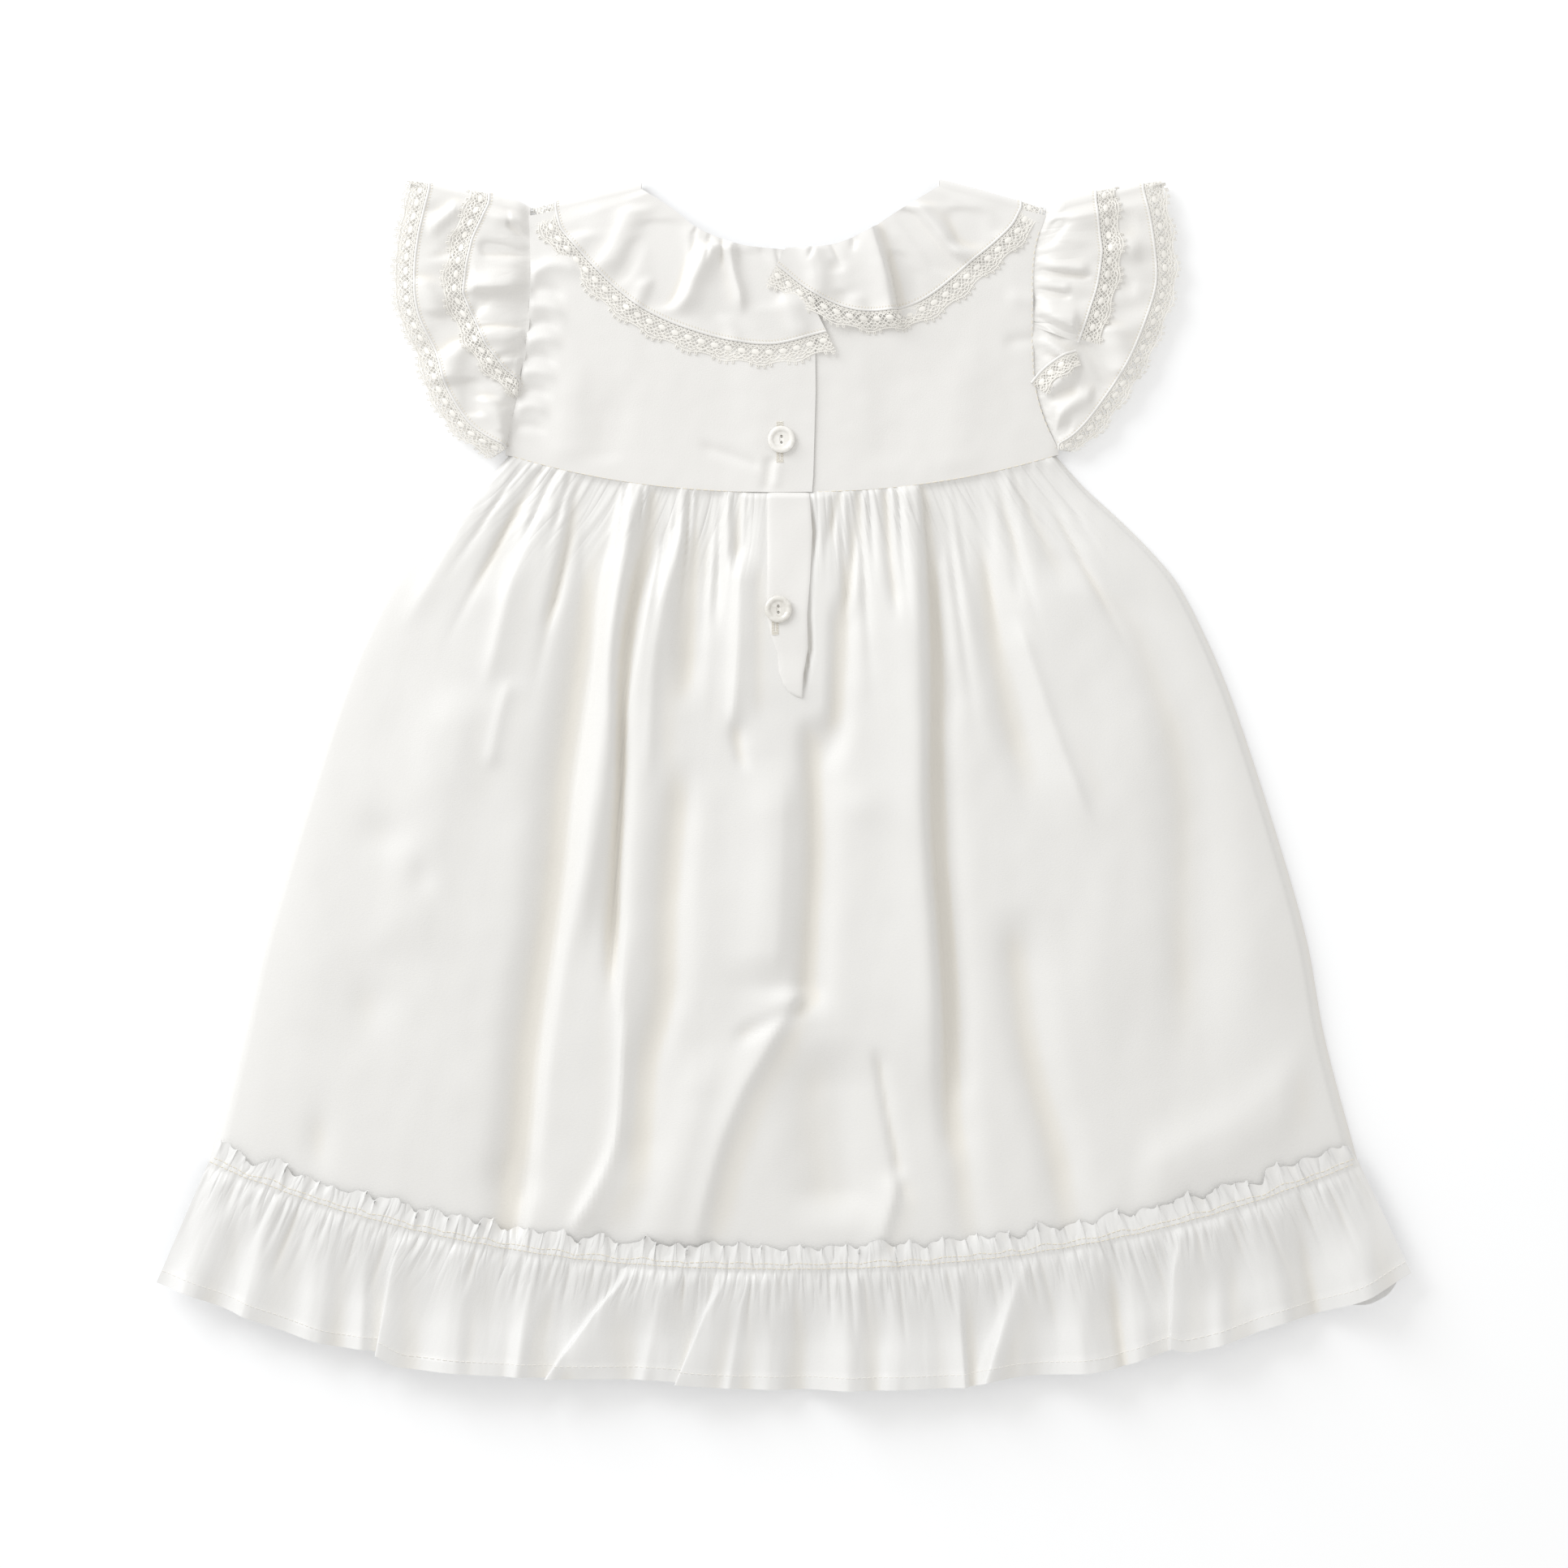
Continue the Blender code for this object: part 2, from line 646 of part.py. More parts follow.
def collar(side, name, puffs, stack):
    """One half of the collar and the lace along its edge."""
    back, length = fan(side.neck, side.edge)
    front, _ = fan(side.front_neck, side.front_edge)

    def under(s, t):
        x, y = back(s, t)
        spread = mix(0.8, 1.3, t)
        puff = sum(row.height * math.exp(-(((s - row.place) / row.width / spread) ** 2)) for row in puffs)
        swell = math.sin(math.pi * mix(0.1, 0.9, t))
        return bodice_base(x, y) + stack(x) + GAP + puff * swell * ease(1.0, 0.94, s)

    seam, join = 1 - LACE_WIDTH / length(0.5), LACE_JOIN / length(0.5)
    satin, lace = (0, 0, seam - join), (0, seam + join, 1)
    folded(f"collar_{name}", back, front, under, 0, satin, COLLAR_COLUMNS, COLLAR_ROWS, WALL)
    folded(f"collar_{name}_lace", back, front, under, 0, lace, COLLAR_COLUMNS, 1, LACE_WALL, LACE)


def sleeve(side, name):
    """The two tiers of one sleeve and the lace along each."""
    lower_place, length = fan(side.armhole, side.edge)

    def reach(s):
        return read_table(side.reach, "s", "share", s)

    def lower_under(s, t):
        flutes = 0.5 + 0.5 * math.sin(2 * math.pi * FLUTES * s + 1.2 * math.sin(5 * s) + 0.6 * t)
        swell = math.sin(math.pi * mix(0.12, 0.8, t)) * ease(1.0, 0.9, s)
        return SLEEVE_REST + FLUTE_HEIGHT * flutes * swell

    def upper_place(s, t):
        return lower_place(s, t * reach(s))

    def upper_under(s, t):
        flutes = 0.5 + 0.5 * math.sin(2 * math.pi * FLUTES * s + 2)
        own = UPPER_FLUTE_HEIGHT * flutes * t * ease(1.0, 0.9, s)
        return lower_under(s, t * reach(s)) + TIER_STEP + own

    tiers = (
        ("lower", lower_place, lower_under, TIER_STEP - GAP, 0.0, length(0.6)),
        ("upper", upper_place, upper_under, 0.0, side.upper_start, length(0.6) * reach(0.6)),
    )
    for tier, place, under, rest, start, width in tiers:
        node, seam, join = f"sleeve_{name}_{tier}", 1 - LACE_WIDTH / width, LACE_JOIN / width
        satin, lace = (start, 0, seam - join), (start, seam + join, 1)
        folded(node, place, place, under, rest, satin, SLEEVE_COLUMNS, SLEEVE_ROWS, WALL)
        folded(f"{node}_lace", place, place, under, rest, lace, SLEEVE_COLUMNS, 1, LACE_WALL, LACE)


# Placket and buttons


def band_over(x, y):
    """The inner face of the placket's band, which lies on the back skirt."""
    nearby = [skirt_under(x + off, y, 0, waist_y(0) - y) for off in (-3, 0, 3)]
    return max(nearby) + WALL + 2 * GAP


def placket():
    """The band that laps over the slit, with a rounded foot, and the one that lies beneath it."""
    top = waist_y(0) - 2 * GAP

    def overlap(column, row):
        y = mix(top, BAND_FOOT_Y, row / BAND_GRID[1])
        right = lap_edge(y)
        left = mix(BAND_LEFT, right - 3.0, ease(46, BAND_FOOT_Y, y))
        x = mix(left, right, column / BAND_GRID[0])
        return (x, y, band_over(x, y)), (0, 0, WALL)

    def underlap(column, row):
        x = mix(BAND_LEFT, UNDERLAP_RIGHT, column / UNDERLAP_GRID[0])
        y = mix(top, BAND_FOOT_Y, row / UNDERLAP_GRID[1])
        return (x, y, LAYER), (0, 0, LACE_WALL)

    cloth("placket_overlap", *BAND_GRID, overlap)
    cloth("placket_underlap", *UNDERLAP_GRID, underlap)


def turned(profile, sides):
    """A mesh spun from a profile of radii and heights that starts and ends on the axis."""
    mesh = bmesh.new()
    verts = [mesh.verts.new((radius * MM, 0, height * MM)) for radius, height in profile]
    edges = [mesh.edges.new(pair) for pair in zip(verts, verts[1:])]
    bmesh.ops.spin(
        mesh, geom=verts + edges, cent=(0, 0, 0), axis=(0, 0, 1), angle=2 * math.pi, steps=sides,
        use_merge=True,
    )
    bmesh.ops.remove_doubles(mesh, verts=mesh.verts, dist=1e-6)
    bmesh.ops.recalc_face_normals(mesh, faces=mesh.faces)
    return mesh


def button(name, x, y, under):
    """A round button with a raised rim and two holes, lying on the band."""
    thing = finish(name, PEARL, 0.2)
    mesh = turned((
        (0.0, 0.0),
        (BUTTON_RADIUS * 0.8, 0.0),
        (BUTTON_RADIUS, BUTTON_THICKNESS * 0.5),
        (BUTTON_RADIUS * 0.92, BUTTON_THICKNESS),
        (BUTTON_RADIUS * 0.7, BUTTON_THICKNESS),
        (BUTTON_RADIUS * 0.6, BUTTON_THICKNESS * 0.7),
        (0.0, BUTTON_THICKNESS * 0.7),
    ), BUTTON_SIDES)
    mesh.to_mesh(thing.data)
    mesh.free()
    thing.location = (x * MM, y * MM, under * MM)
    for side in (-1, 1):
        cutter = bpy.data.objects.new(f"{name}_hole", bpy.data.meshes.new("hole"))
        hole = turned((
            (0.0, -BUTTON_THICKNESS),
            (BUTTON_HOLE_RADIUS, -BUTTON_THICKNESS),
            (BUTTON_HOLE_RADIUS, 2 * BUTTON_THICKNESS),
            (0.0, 2 * BUTTON_THICKNESS),
        ), 10)
        hole.to_mesh(cutter.data)
        hole.free()
        cutter.parent = thing
        cutter.location = (0, side * BUTTON_HOLE_OFFSET * MM, 0)
        cutter.hide_render = True
        cutter.display_type = "WIRE"
        bpy.context.scene.collection.objects.link(cutter)
        modifier = thing.modifiers.new("hole", "BOOLEAN")
        modifier.operation = "DIFFERENCE"
        modifier.object = cutter


def main():
    for thing in list(bpy.data.objects):
        bpy.data.objects.remove(thing)
    front_skirt()
    front_flounce()
    back_skirt()
    back_flounce()
    bodice()
    placket()
    collar(COLLAR_LEFT, "left", PUFFS_LEFT, left_stack)
    collar(COLLAR_RIGHT, "right", PUFFS_RIGHT, right_stack)
    sleeve(SLEEVE_LEFT, "left")
    sleeve(SLEEVE_RIGHT, "right")
    button("button_upper", *UPPER_BUTTON, lapped(*UPPER_BUTTON) + LAYER)
    x, y = LOWER_BUTTON
    button("button_lower", x, y, max(band_over(x + off, y) for off in (-4, 0, 4)) + LAYER)


main()
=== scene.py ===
# A baby dress laid flat on its front and seen from the back: cream satin, lace and two buttons.
# Sizes are in millimetres until a mesh is finished.
import math
import random

import bmesh
import bpy
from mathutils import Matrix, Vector, noise


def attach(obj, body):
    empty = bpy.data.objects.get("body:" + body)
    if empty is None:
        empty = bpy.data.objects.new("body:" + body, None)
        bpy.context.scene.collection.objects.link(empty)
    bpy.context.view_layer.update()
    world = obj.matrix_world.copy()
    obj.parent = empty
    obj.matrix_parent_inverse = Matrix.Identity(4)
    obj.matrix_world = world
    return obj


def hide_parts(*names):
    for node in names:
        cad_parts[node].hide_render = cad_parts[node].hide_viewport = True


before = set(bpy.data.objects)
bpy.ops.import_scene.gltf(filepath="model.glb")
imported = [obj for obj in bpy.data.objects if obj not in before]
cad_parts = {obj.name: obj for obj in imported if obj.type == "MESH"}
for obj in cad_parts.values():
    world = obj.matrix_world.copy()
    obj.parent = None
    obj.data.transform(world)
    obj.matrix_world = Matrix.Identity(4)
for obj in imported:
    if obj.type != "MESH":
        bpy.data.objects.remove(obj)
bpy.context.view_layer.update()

mm = 0.001
wall = 1.5  # the cloth of the CAD model
gap = 0.3
layer = wall + gap
ply = 0.8  # what one more thin cloth adds where pieces lie on each other
clothThickness = 0.35
laceWidth = 8.5
seamLength = 487  # of the flounce's seam
trianglesMade = 0


def mix(first, second, share):
    return first + (second - first) * share


def ease(low, high, value):
    share = min(max((value - low) / (high - low), 0.0), 1.0)
    return share * share * (3 - 2 * share)


def along(rows, at, key=0, column=1):
    # a value read between the rows of a table that rise by their key
    if at <= rows[0][key]:
        return rows[0][column]
    for low, high in zip(rows, rows[1:]):
        if at <= high[key]:
            return mix(low[column], high[column], (at - low[key]) / (high[key] - low[key]))
    return rows[-1][column]


def ripple(x, y, size, seed=0.0):
    # soft noise from about -1 to 1
    return noise.noise(Vector((x / size, y / size, seed)))


class Curve:
    # a smooth line through a few points, asked for by the fraction of its length
    def __init__(self, points):
        self.points = [Vector(point) for point in points]
        self.far = [0.0]
        for before, after in zip(self.points, self.points[1:]):
            self.far.append(self.far[-1] + (after - before).length)
        self.length = self.far[-1]
        self.known = {}

    def slope(self, index):
        low, high = max(index - 1, 0), min(index + 1, len(self.points) - 1)
        return (self.points[high] - self.points[low]) / (self.far[high] - self.far[low])

    def at(self, fraction):
        if fraction in self.known:
            return self.known[fraction]
        place = min(max(fraction, 0.0), 1.0) * self.length
        index = 0
        while index < len(self.points) - 2 and place > self.far[index + 1]:
            index += 1
        span = self.far[index + 1] - self.far[index]
        t = (place - self.far[index]) / span
        start, end = self.points[index], self.points[index + 1]
        found = (
            start * (2 * t**3 - 3 * t**2 + 1)
            + self.slope(index) * span * (t**3 - 2 * t**2 + t)
            + end * (3 * t**2 - 2 * t**3)
            + self.slope(index + 1) * span * (t**3 - t**2)
        )
        self.known[fraction] = found
        return found


class Fold:
    # a ridge (height over 0) or valley along a line of points, x and y in turn; left and right are its
    # widths, fades are the lengths over which it dies out at the line's start and end, sharp is 2 for a
    # round fold and near 1 for a creased one, and lean tips its crest to the left (over 0) or right
    def __init__(self, height, left, right, line, fades=(14, 20), sharp=2.0, lean=0.0):
        self.height, self.left, self.right = height, left, right
        self.sharp, self.lean = sharp, lean
        line = list(zip(line[::2], line[1::2]))
        self.axis = 1 if abs(line[-1][1] - line[0][1]) > abs(line[-1][0] - line[0][0]) else 0
        points = sorted(line, key=lambda point: point[self.axis])
        self.fades = fades if points[0] == line[0] else fades[::-1]
        self.low, self.high = points[0][self.axis], points[-1][self.axis]
        curve = Curve(points)
        rows = [curve.at(step / 60) for step in range(61)]
        self.steps = []
        count = max(int(self.high - self.low), 2)
        for step in range(count + 1):
            at = mix(self.low, self.high, step / count)
            self.steps.append(along(rows, at, self.axis, 1 - self.axis))

    def rise(self, x, y):
        at, off = (y, x) if self.axis else (x, y)
        if not self.low < at < self.high:
            return 0.0
        place = (at - self.low) / (self.high - self.low) * (len(self.steps) - 1)
        index = min(int(place), len(self.steps) - 2)
        off -= mix(self.steps[index], self.steps[index + 1], place - index)
        far = abs(off) / (self.left if off < 0 else self.right)
        if far > 3.2:
            return 0.0
        fade = ease(0, self.fades[0], at - self.low) * ease(0, self.fades[1], self.high - at)
        return self.height * fade * math.exp(-((math.hypot(far, 0.12) - 0.12) ** self.sharp))


def foldsAt(folds, x, y):
    # how high the folds lift the cloth here, and how far they tip it sideways
    height = lean = 0.0
    for fold in folds:
        rise = fold.rise(x, y)
        height += rise
        lean -= fold.lean * rise
    return height, lean


# Materials


def addNode(tree, kind, given, **settings):
    # given holds a value or another node's output for each input, by the input's name or place
    node = tree.nodes.new(kind)
    for name, value in settings.items():
        setattr(node, name, value)
    for socket, value in given.items():
        if isinstance(value, bpy.types.NodeSocket):
            tree.links.new(value, node.inputs[socket])
        else:
            node.inputs[socket].default_value = value
    return node.outputs


def mathNode(tree, operation, *given):
    return addNode(tree, "ShaderNodeMath", dict(enumerate(given)), operation=operation)[0]


def newGroup(name, inputs, outputs):
    group = bpy.data.node_groups.new(name, "ShaderNodeTree")
    for label, kind, value in inputs:
        socket = group.interface.new_socket(label, in_out="INPUT", socket_type=kind)
        if value is not None:
            socket.default_value = value
    for label, kind in outputs:
        group.interface.new_socket(label, in_out="OUTPUT", socket_type=kind)
    return group, group.nodes.new("NodeGroupInput").outputs, group.nodes.new("NodeGroupOutput").inputs


def makeWeaveGroup():
    # fine yarns that run along the cloth, with slow changes of tone and a little slub
    group, given, out = newGroup(
        "satinWeave",
        [("Vector", "NodeSocketVector", None), ("Yarns", "NodeSocketFloat", 2.2),
         ("Light", "NodeSocketColor", None), ("Dark", "NodeSocketColor", None)],
        [("Color", "NodeSocketColor"), ("Roughness", "NodeSocketFloat"), ("Height", "NodeSocketFloat")],
    )
    place = given["Vector"]
    drawn = addNode(group, "ShaderNodeMapping", {"Vector": place, "Scale": (0.35, 1.6, 1.0)})["Vector"]
    yarns = addNode(group, "ShaderNodeTexNoise", {"Vector": drawn, "Scale": given["Yarns"], "Detail": 2.0})["Fac"]
    cross = addNode(group, "ShaderNodeTexNoise", {"Vector": place, "Scale": 1.1, "Detail": 3.0})["Fac"]
    slow = addNode(group, "ShaderNodeTexNoise", {"Vector": place, "Scale": 0.035, "Detail": 2.0})["Fac"]
    both = mathNode(group, "ADD", yarns, mathNode(group, "MULTIPLY", cross, 0.5))
    tone = addNode(group, "ShaderNodeMapRange", {"Value": both, "From Min": 0.45, "From Max": 1.0})["Result"]
    drift = mathNode(group, "MULTIPLY_ADD", slow, 0.8, mathNode(group, "MULTIPLY", tone, 0.35))
    paint = {0: drift, 6: given["Dark"], 7: given["Light"]}
    rough = {"Value": both, "From Min": 0.4, "From Max": 1.1, "To Min": 0.34, "To Max": 0.46}
    group.links.new(addNode(group, "ShaderNodeMix", paint, data_type="RGBA")[2], out["Color"])
    group.links.new(addNode(group, "ShaderNodeMapRange", rough)["Result"], out["Roughness"])
    group.links.new(both, out["Height"])
    return group


def makeCreaseGroup():
    # fine creases that run down from a gathered edge and die out below it
    group, given, out = newGroup(
        "gatheredCreases",
        [("Vector", "NodeSocketVector", None), ("Across", "NodeSocketFloat", 0.12), ("Down", "NodeSocketFloat", 0.01),
         ("Start", "NodeSocketFloat", 0.0), ("End", "NodeSocketFloat", 100.0), ("Rest", "NodeSocketFloat", 0.1)],
        [("Height", "NodeSocketFloat")],
    )
    split = addNode(group, "ShaderNodeSeparateXYZ", {0: given["Vector"]})
    stretch = addNode(group, "ShaderNodeCombineXYZ", {
        "X": mathNode(group, "MULTIPLY", split["X"], given["Across"]),
        "Y": mathNode(group, "MULTIPLY", split["Y"], given["Down"]),
    })[0]
    creases = addNode(group, "ShaderNodeTexNoise", {"Vector": stretch, "Scale": 1.0, "Detail": 1.5})["Fac"]
    sharp = mathNode(group, "ABSOLUTE", mathNode(group, "SUBTRACT", creases, 0.5))
    fade = addNode(group, "ShaderNodeMapRange", {
        "Value": split["Y"], "From Min": given["Start"], "From Max": given["End"],
        "To Min": 1.0, "To Max": given["Rest"],
    }, interpolation_type="SMOOTHSTEP")["Result"]
    group.links.new(mathNode(group, "MULTIPLY", sharp, fade), out["Height"])
    return group


weaveGroup = makeWeaveGroup()
creaseGroup = makeCreaseGroup()


def newMaterial(name):
    material = bpy.data.materials.new(name)
    material.use_nodes = True
    return material, material.node_tree, material.node_tree.nodes["Principled BSDF"].inputs


def clothMaterial(
    name, light, dark, yarns=2.2, bump=0.6, sheen=0.15, specular=0.45, objectSpace=False, creases=None, deep=0.0,
):
    material, tree, shader = newMaterial(name)
    if objectSpace:
        place = addNode(tree, "ShaderNodeTexCoord", {})["Object"]
    else:
        place = addNode(tree, "ShaderNodeUVMap", {}, uv_map="cloth")["UV"]
    where = addNode(tree, "ShaderNodeMapping", {"Vector": place, "Scale": (1000, 1000, 1000)})["Vector"]
    given = {"Vector": where, "Yarns": yarns, "Light": (*light, 1), "Dark": (*dark, 1)}
    weave = addNode(tree, "ShaderNodeGroup", given, node_tree=weaveGroup)
    color = weave["Color"]
    if not objectSpace:  # painted shade: the hollows between folds are tinted warmer in the base colour, in place of light bounced within the folds
        paintedShade = addNode(tree, "ShaderNodeAttribute", {}, attribute_name="paintedShade")["Fac"]
        paintedShadeTint = {0: paintedShade, 6: color, 7: (1.0, 0.975, 0.925, 1)}
        color = addNode(tree, "ShaderNodeMix", paintedShadeTint, data_type="RGBA", blend_type="MULTIPLY")[2]
    relief = {"Strength": bump, "Distance": 0.00012, "Height": weave["Height"]}
    if creases:
        gathered = addNode(tree, "ShaderNodeGroup", {"Vector": where, **creases}, node_tree=creaseGroup)["Height"]
        relief["Normal"] = addNode(tree, "ShaderNodeBump", {"Distance": deep, "Height": gathered})["Normal"]
    tree.links.new(color, shader["Base Color"])
    tree.links.new(weave["Roughness"], shader["Roughness"])
    tree.links.new(addNode(tree, "ShaderNodeBump", relief)["Normal"], shader["Normal"])
    shader["Sheen Weight"].default_value = sheen
    shader["Sheen Roughness"].default_value = 0.5
    shader["Specular IOR Level"].default_value = specular
    return material


satin = clothMaterial("creamSatin", (0.848, 0.840, 0.828), (0.810, 0.800, 0.784))
skirtSatin = clothMaterial(
    "gatheredSatin", (0.840, 0.836, 0.826), (0.800, 0.793, 0.780), specular=0.4,
    creases={"Across": 0.1, "Down": 0.011, "Start": 4.0, "End": 80.0, "Rest": 0.03}, deep=0.0022,
)
ruffleSatin = clothMaterial(
    "ruffledSatin", (0.842, 0.833, 0.818), (0.802, 0.791, 0.773),
    creases={"Across": 0.085, "Down": 0.05, "Start": 1.0, "End": 20.0, "Rest": 0.2}, deep=0.0015,
)
thinSatin = clothMaterial(
    "thinSatin", (0.837, 0.837, 0.835), (0.797, 0.794, 0.788), bump=0.45, specular=0.7,
    creases={"Across": 0.13, "Down": 0.04, "Start": 14.0, "End": 36.0, "Rest": 0.08}, deep=0.0027,
)
cotton = {"sheen": 0.1, "objectSpace": True}
net = clothMaterial("laceNet", (0.74, 0.728, 0.70), (0.71, 0.69, 0.65), 3.0, 0.3, specular=0.25, **cotton)
netShader = net.node_tree.nodes["Principled BSDF"].inputs
netShader["Emission Color"].default_value = (1.0, 0.98, 0.93, 1)
netShader["Emission Strength"].default_value = 0.2  # painted light: a faint glow in place of light through thin cotton, which also lightens the net's shaded threads
sewing = clothMaterial("sewingThread", (0.90, 0.85, 0.74), (0.85, 0.78, 0.64), 4.0, 0.4, specular=0.35, **cotton)
paleSewing = clothMaterial("paleThread", (0.89, 0.865, 0.81), (0.84, 0.80, 0.72), 4.0, 0.4, specular=0.3, **cotton)


def pearlMaterial(name, light, dark):
    material, tree, shader = newMaterial(name)
    place = addNode(tree, "ShaderNodeTexCoord", {})["Object"]
    cloudy = {"Vector": place, "Scale": 420.0, "Detail": 3.0, "Distortion": 1.2}
    clouds = addNode(tree, "ShaderNodeTexNoise", cloudy)["Fac"]
    ramp = tree.nodes.new("ShaderNodeValToRGB")
    for element, position, color in zip(ramp.color_ramp.elements, (0.35, 0.7), (dark, light)):
        element.position, element.color = position, (*color, 1)
    rough = addNode(tree, "ShaderNodeMapRange", {"Value": clouds, "To Min": 0.12, "To Max": 0.26})["Result"]
    tree.links.new(clouds, ramp.inputs["Fac"])
    tree.links.new(ramp.outputs["Color"], shader["Base Color"])
    tree.links.new(rough, shader["Roughness"])
    shader["Coat Weight"].default_value = 0.5
    shader["Coat Roughness"].default_value = 0.08
    return material


pearl = pearlMaterial("pearlButton", (0.95, 0.94, 0.92), (0.86, 0.84, 0.80))
smokyPearl = pearlMaterial("smokyPearlButton", (0.86, 0.845, 0.81), (0.74, 0.72, 0.675))


# Making pieces


def finished(mesh, name):
    data = bpy.data.meshes.new(name)
    mesh.to_mesh(data)
    mesh.free()
    return data


def placed(name, data):
    thing = bpy.data.objects.new(name, data)
    bpy.context.scene.collection.objects.link(thing)
    return thing


def evaluated(thing):
    return bpy.data.meshes.new_from_object(thing.evaluated_get(bpy.context.evaluated_depsgraph_get()))


def newPiece(name, mesh, material, nodes=()):
    # one finished piece: its object stays at the origin and its place is in its mesh
    global trianglesMade
    data = finished(mesh, name)
    piece = placed(name, data)
    data.materials.append(material)
    data.shade_smooth()
    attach(piece, "root")
    for node in nodes:
        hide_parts(node)
    trianglesMade += sum(len(face.vertices) - 2 for face in data.polygons)
    return piece


def clothPiece(name, columns, rows, place, size, nodes, cut=None, thickness=clothThickness, material=satin, near=3):
    # thin cloth on a grid: place(column, row) gives its outer face in millimetres, size its width and
    # length for the weave, and near is how many columns off the cloth is compared for the painted shade in the hollows
    # between folds
    mesh = bmesh.new()
    bmesh.ops.create_grid(mesh, x_segments=columns, y_segments=rows, size=1)
    if cut:
        holes = [face for face in mesh.faces if cut(
            int((face.calc_center_median().x + 1) / 2 * columns),
            int((face.calc_center_median().y + 1) / 2 * rows),
        )]
        bmesh.ops.delete(mesh, geom=holes, context="FACES")
    flat = mesh.loops.layers.uv.new("cloth")
    for face in mesh.faces:
        for loop in face.loops:
            across, down = (loop.vert.co.x + 1) / 2, (loop.vert.co.y + 1) / 2
            loop[flat].uv = (across * size[0] * mm, down * size[1] * mm)
    # painted shade: a warm tint for the material, by how far each point lies below the cloth beside it
    paintedShade = mesh.verts.layers.float.new("paintedShade")
    spots = {}
    for vert in mesh.verts:
        column = round((vert.co.x + 1) / 2 * columns)
        row = round((vert.co.y + 1) / 2 * rows)
        vert.co = place(column, row) * mm
        spots[vert] = (column, row)
    heights = [[0.0] * (rows + 1) for _ in range(columns + 1)]
    for vert, (column, row) in spots.items():
        heights[column][row] = vert.co.z / mm
    for vert, (column, row) in spots.items():
        sides = []
        for way in (-near, near):
            beside = [heights[min(max(column + way * part // 3, 0), columns)][row] for part in (2, 4, 6)]
            sides.append(min(sum(beside) / 3 - heights[column][row], 2.0))
        # weighted to the lower columns' side, which on the skirt leans the painted shade onto slopes that face away
        # from the key light
        vert[paintedShade] = ease(0.15, 2.2, 0.7 * sides[0] + 0.3 * sides[1])
    for edge in mesh.edges:
        edge.smooth = not edge.is_boundary
    mesh.normal_update()
    top = max(mesh.faces, key=lambda face: face.calc_center_median().z)
    if top.normal.z < 0:
        bmesh.ops.reverse_faces(mesh, faces=mesh.faces)
    piece = newPiece(name, mesh, material, nodes)
    solid = piece.modifiers.new("thickness", "SOLIDIFY")
    solid.thickness = thickness * mm
    solid.offset = -1
    return piece


def threads(lines, radius, roundness=1):
    # a mesh of thin round threads, each along its own list of points
    curve = bpy.data.curves.new("threads", "CURVE")
    curve.dimensions = "3D"
    curve.bevel_depth = radius
    curve.bevel_resolution = roundness
    curve.use_fill_caps = True
    for line in lines:
        spline = curve.splines.new("POLY")
        spline.points.add(len(line) - 1)
        for point, place in zip(spline.points, line):
            point.co = (*place, 1)
    holder = placed("threads", curve)
    made = evaluated(holder)
    bpy.data.objects.remove(holder)
    bpy.data.curves.remove(curve)
    mesh = bmesh.new()
    mesh.from_mesh(made)
    bpy.data.meshes.remove(made)
    bmesh.ops.recalc_face_normals(mesh, faces=mesh.faces)
    return mesh


def join(target, source):
    data = finished(source, "part")
    target.from_mesh(data)
    bpy.data.meshes.remove(data)


def lay(mesh, surface):
    # takes a mesh made flat (along, across, up) and lays it on a surface, all in millimetres
    for vert in mesh.verts:
        vert.co = surface(vert.co.x, vert.co.y, vert.co.z) * mm
    return mesh


# Back skirt

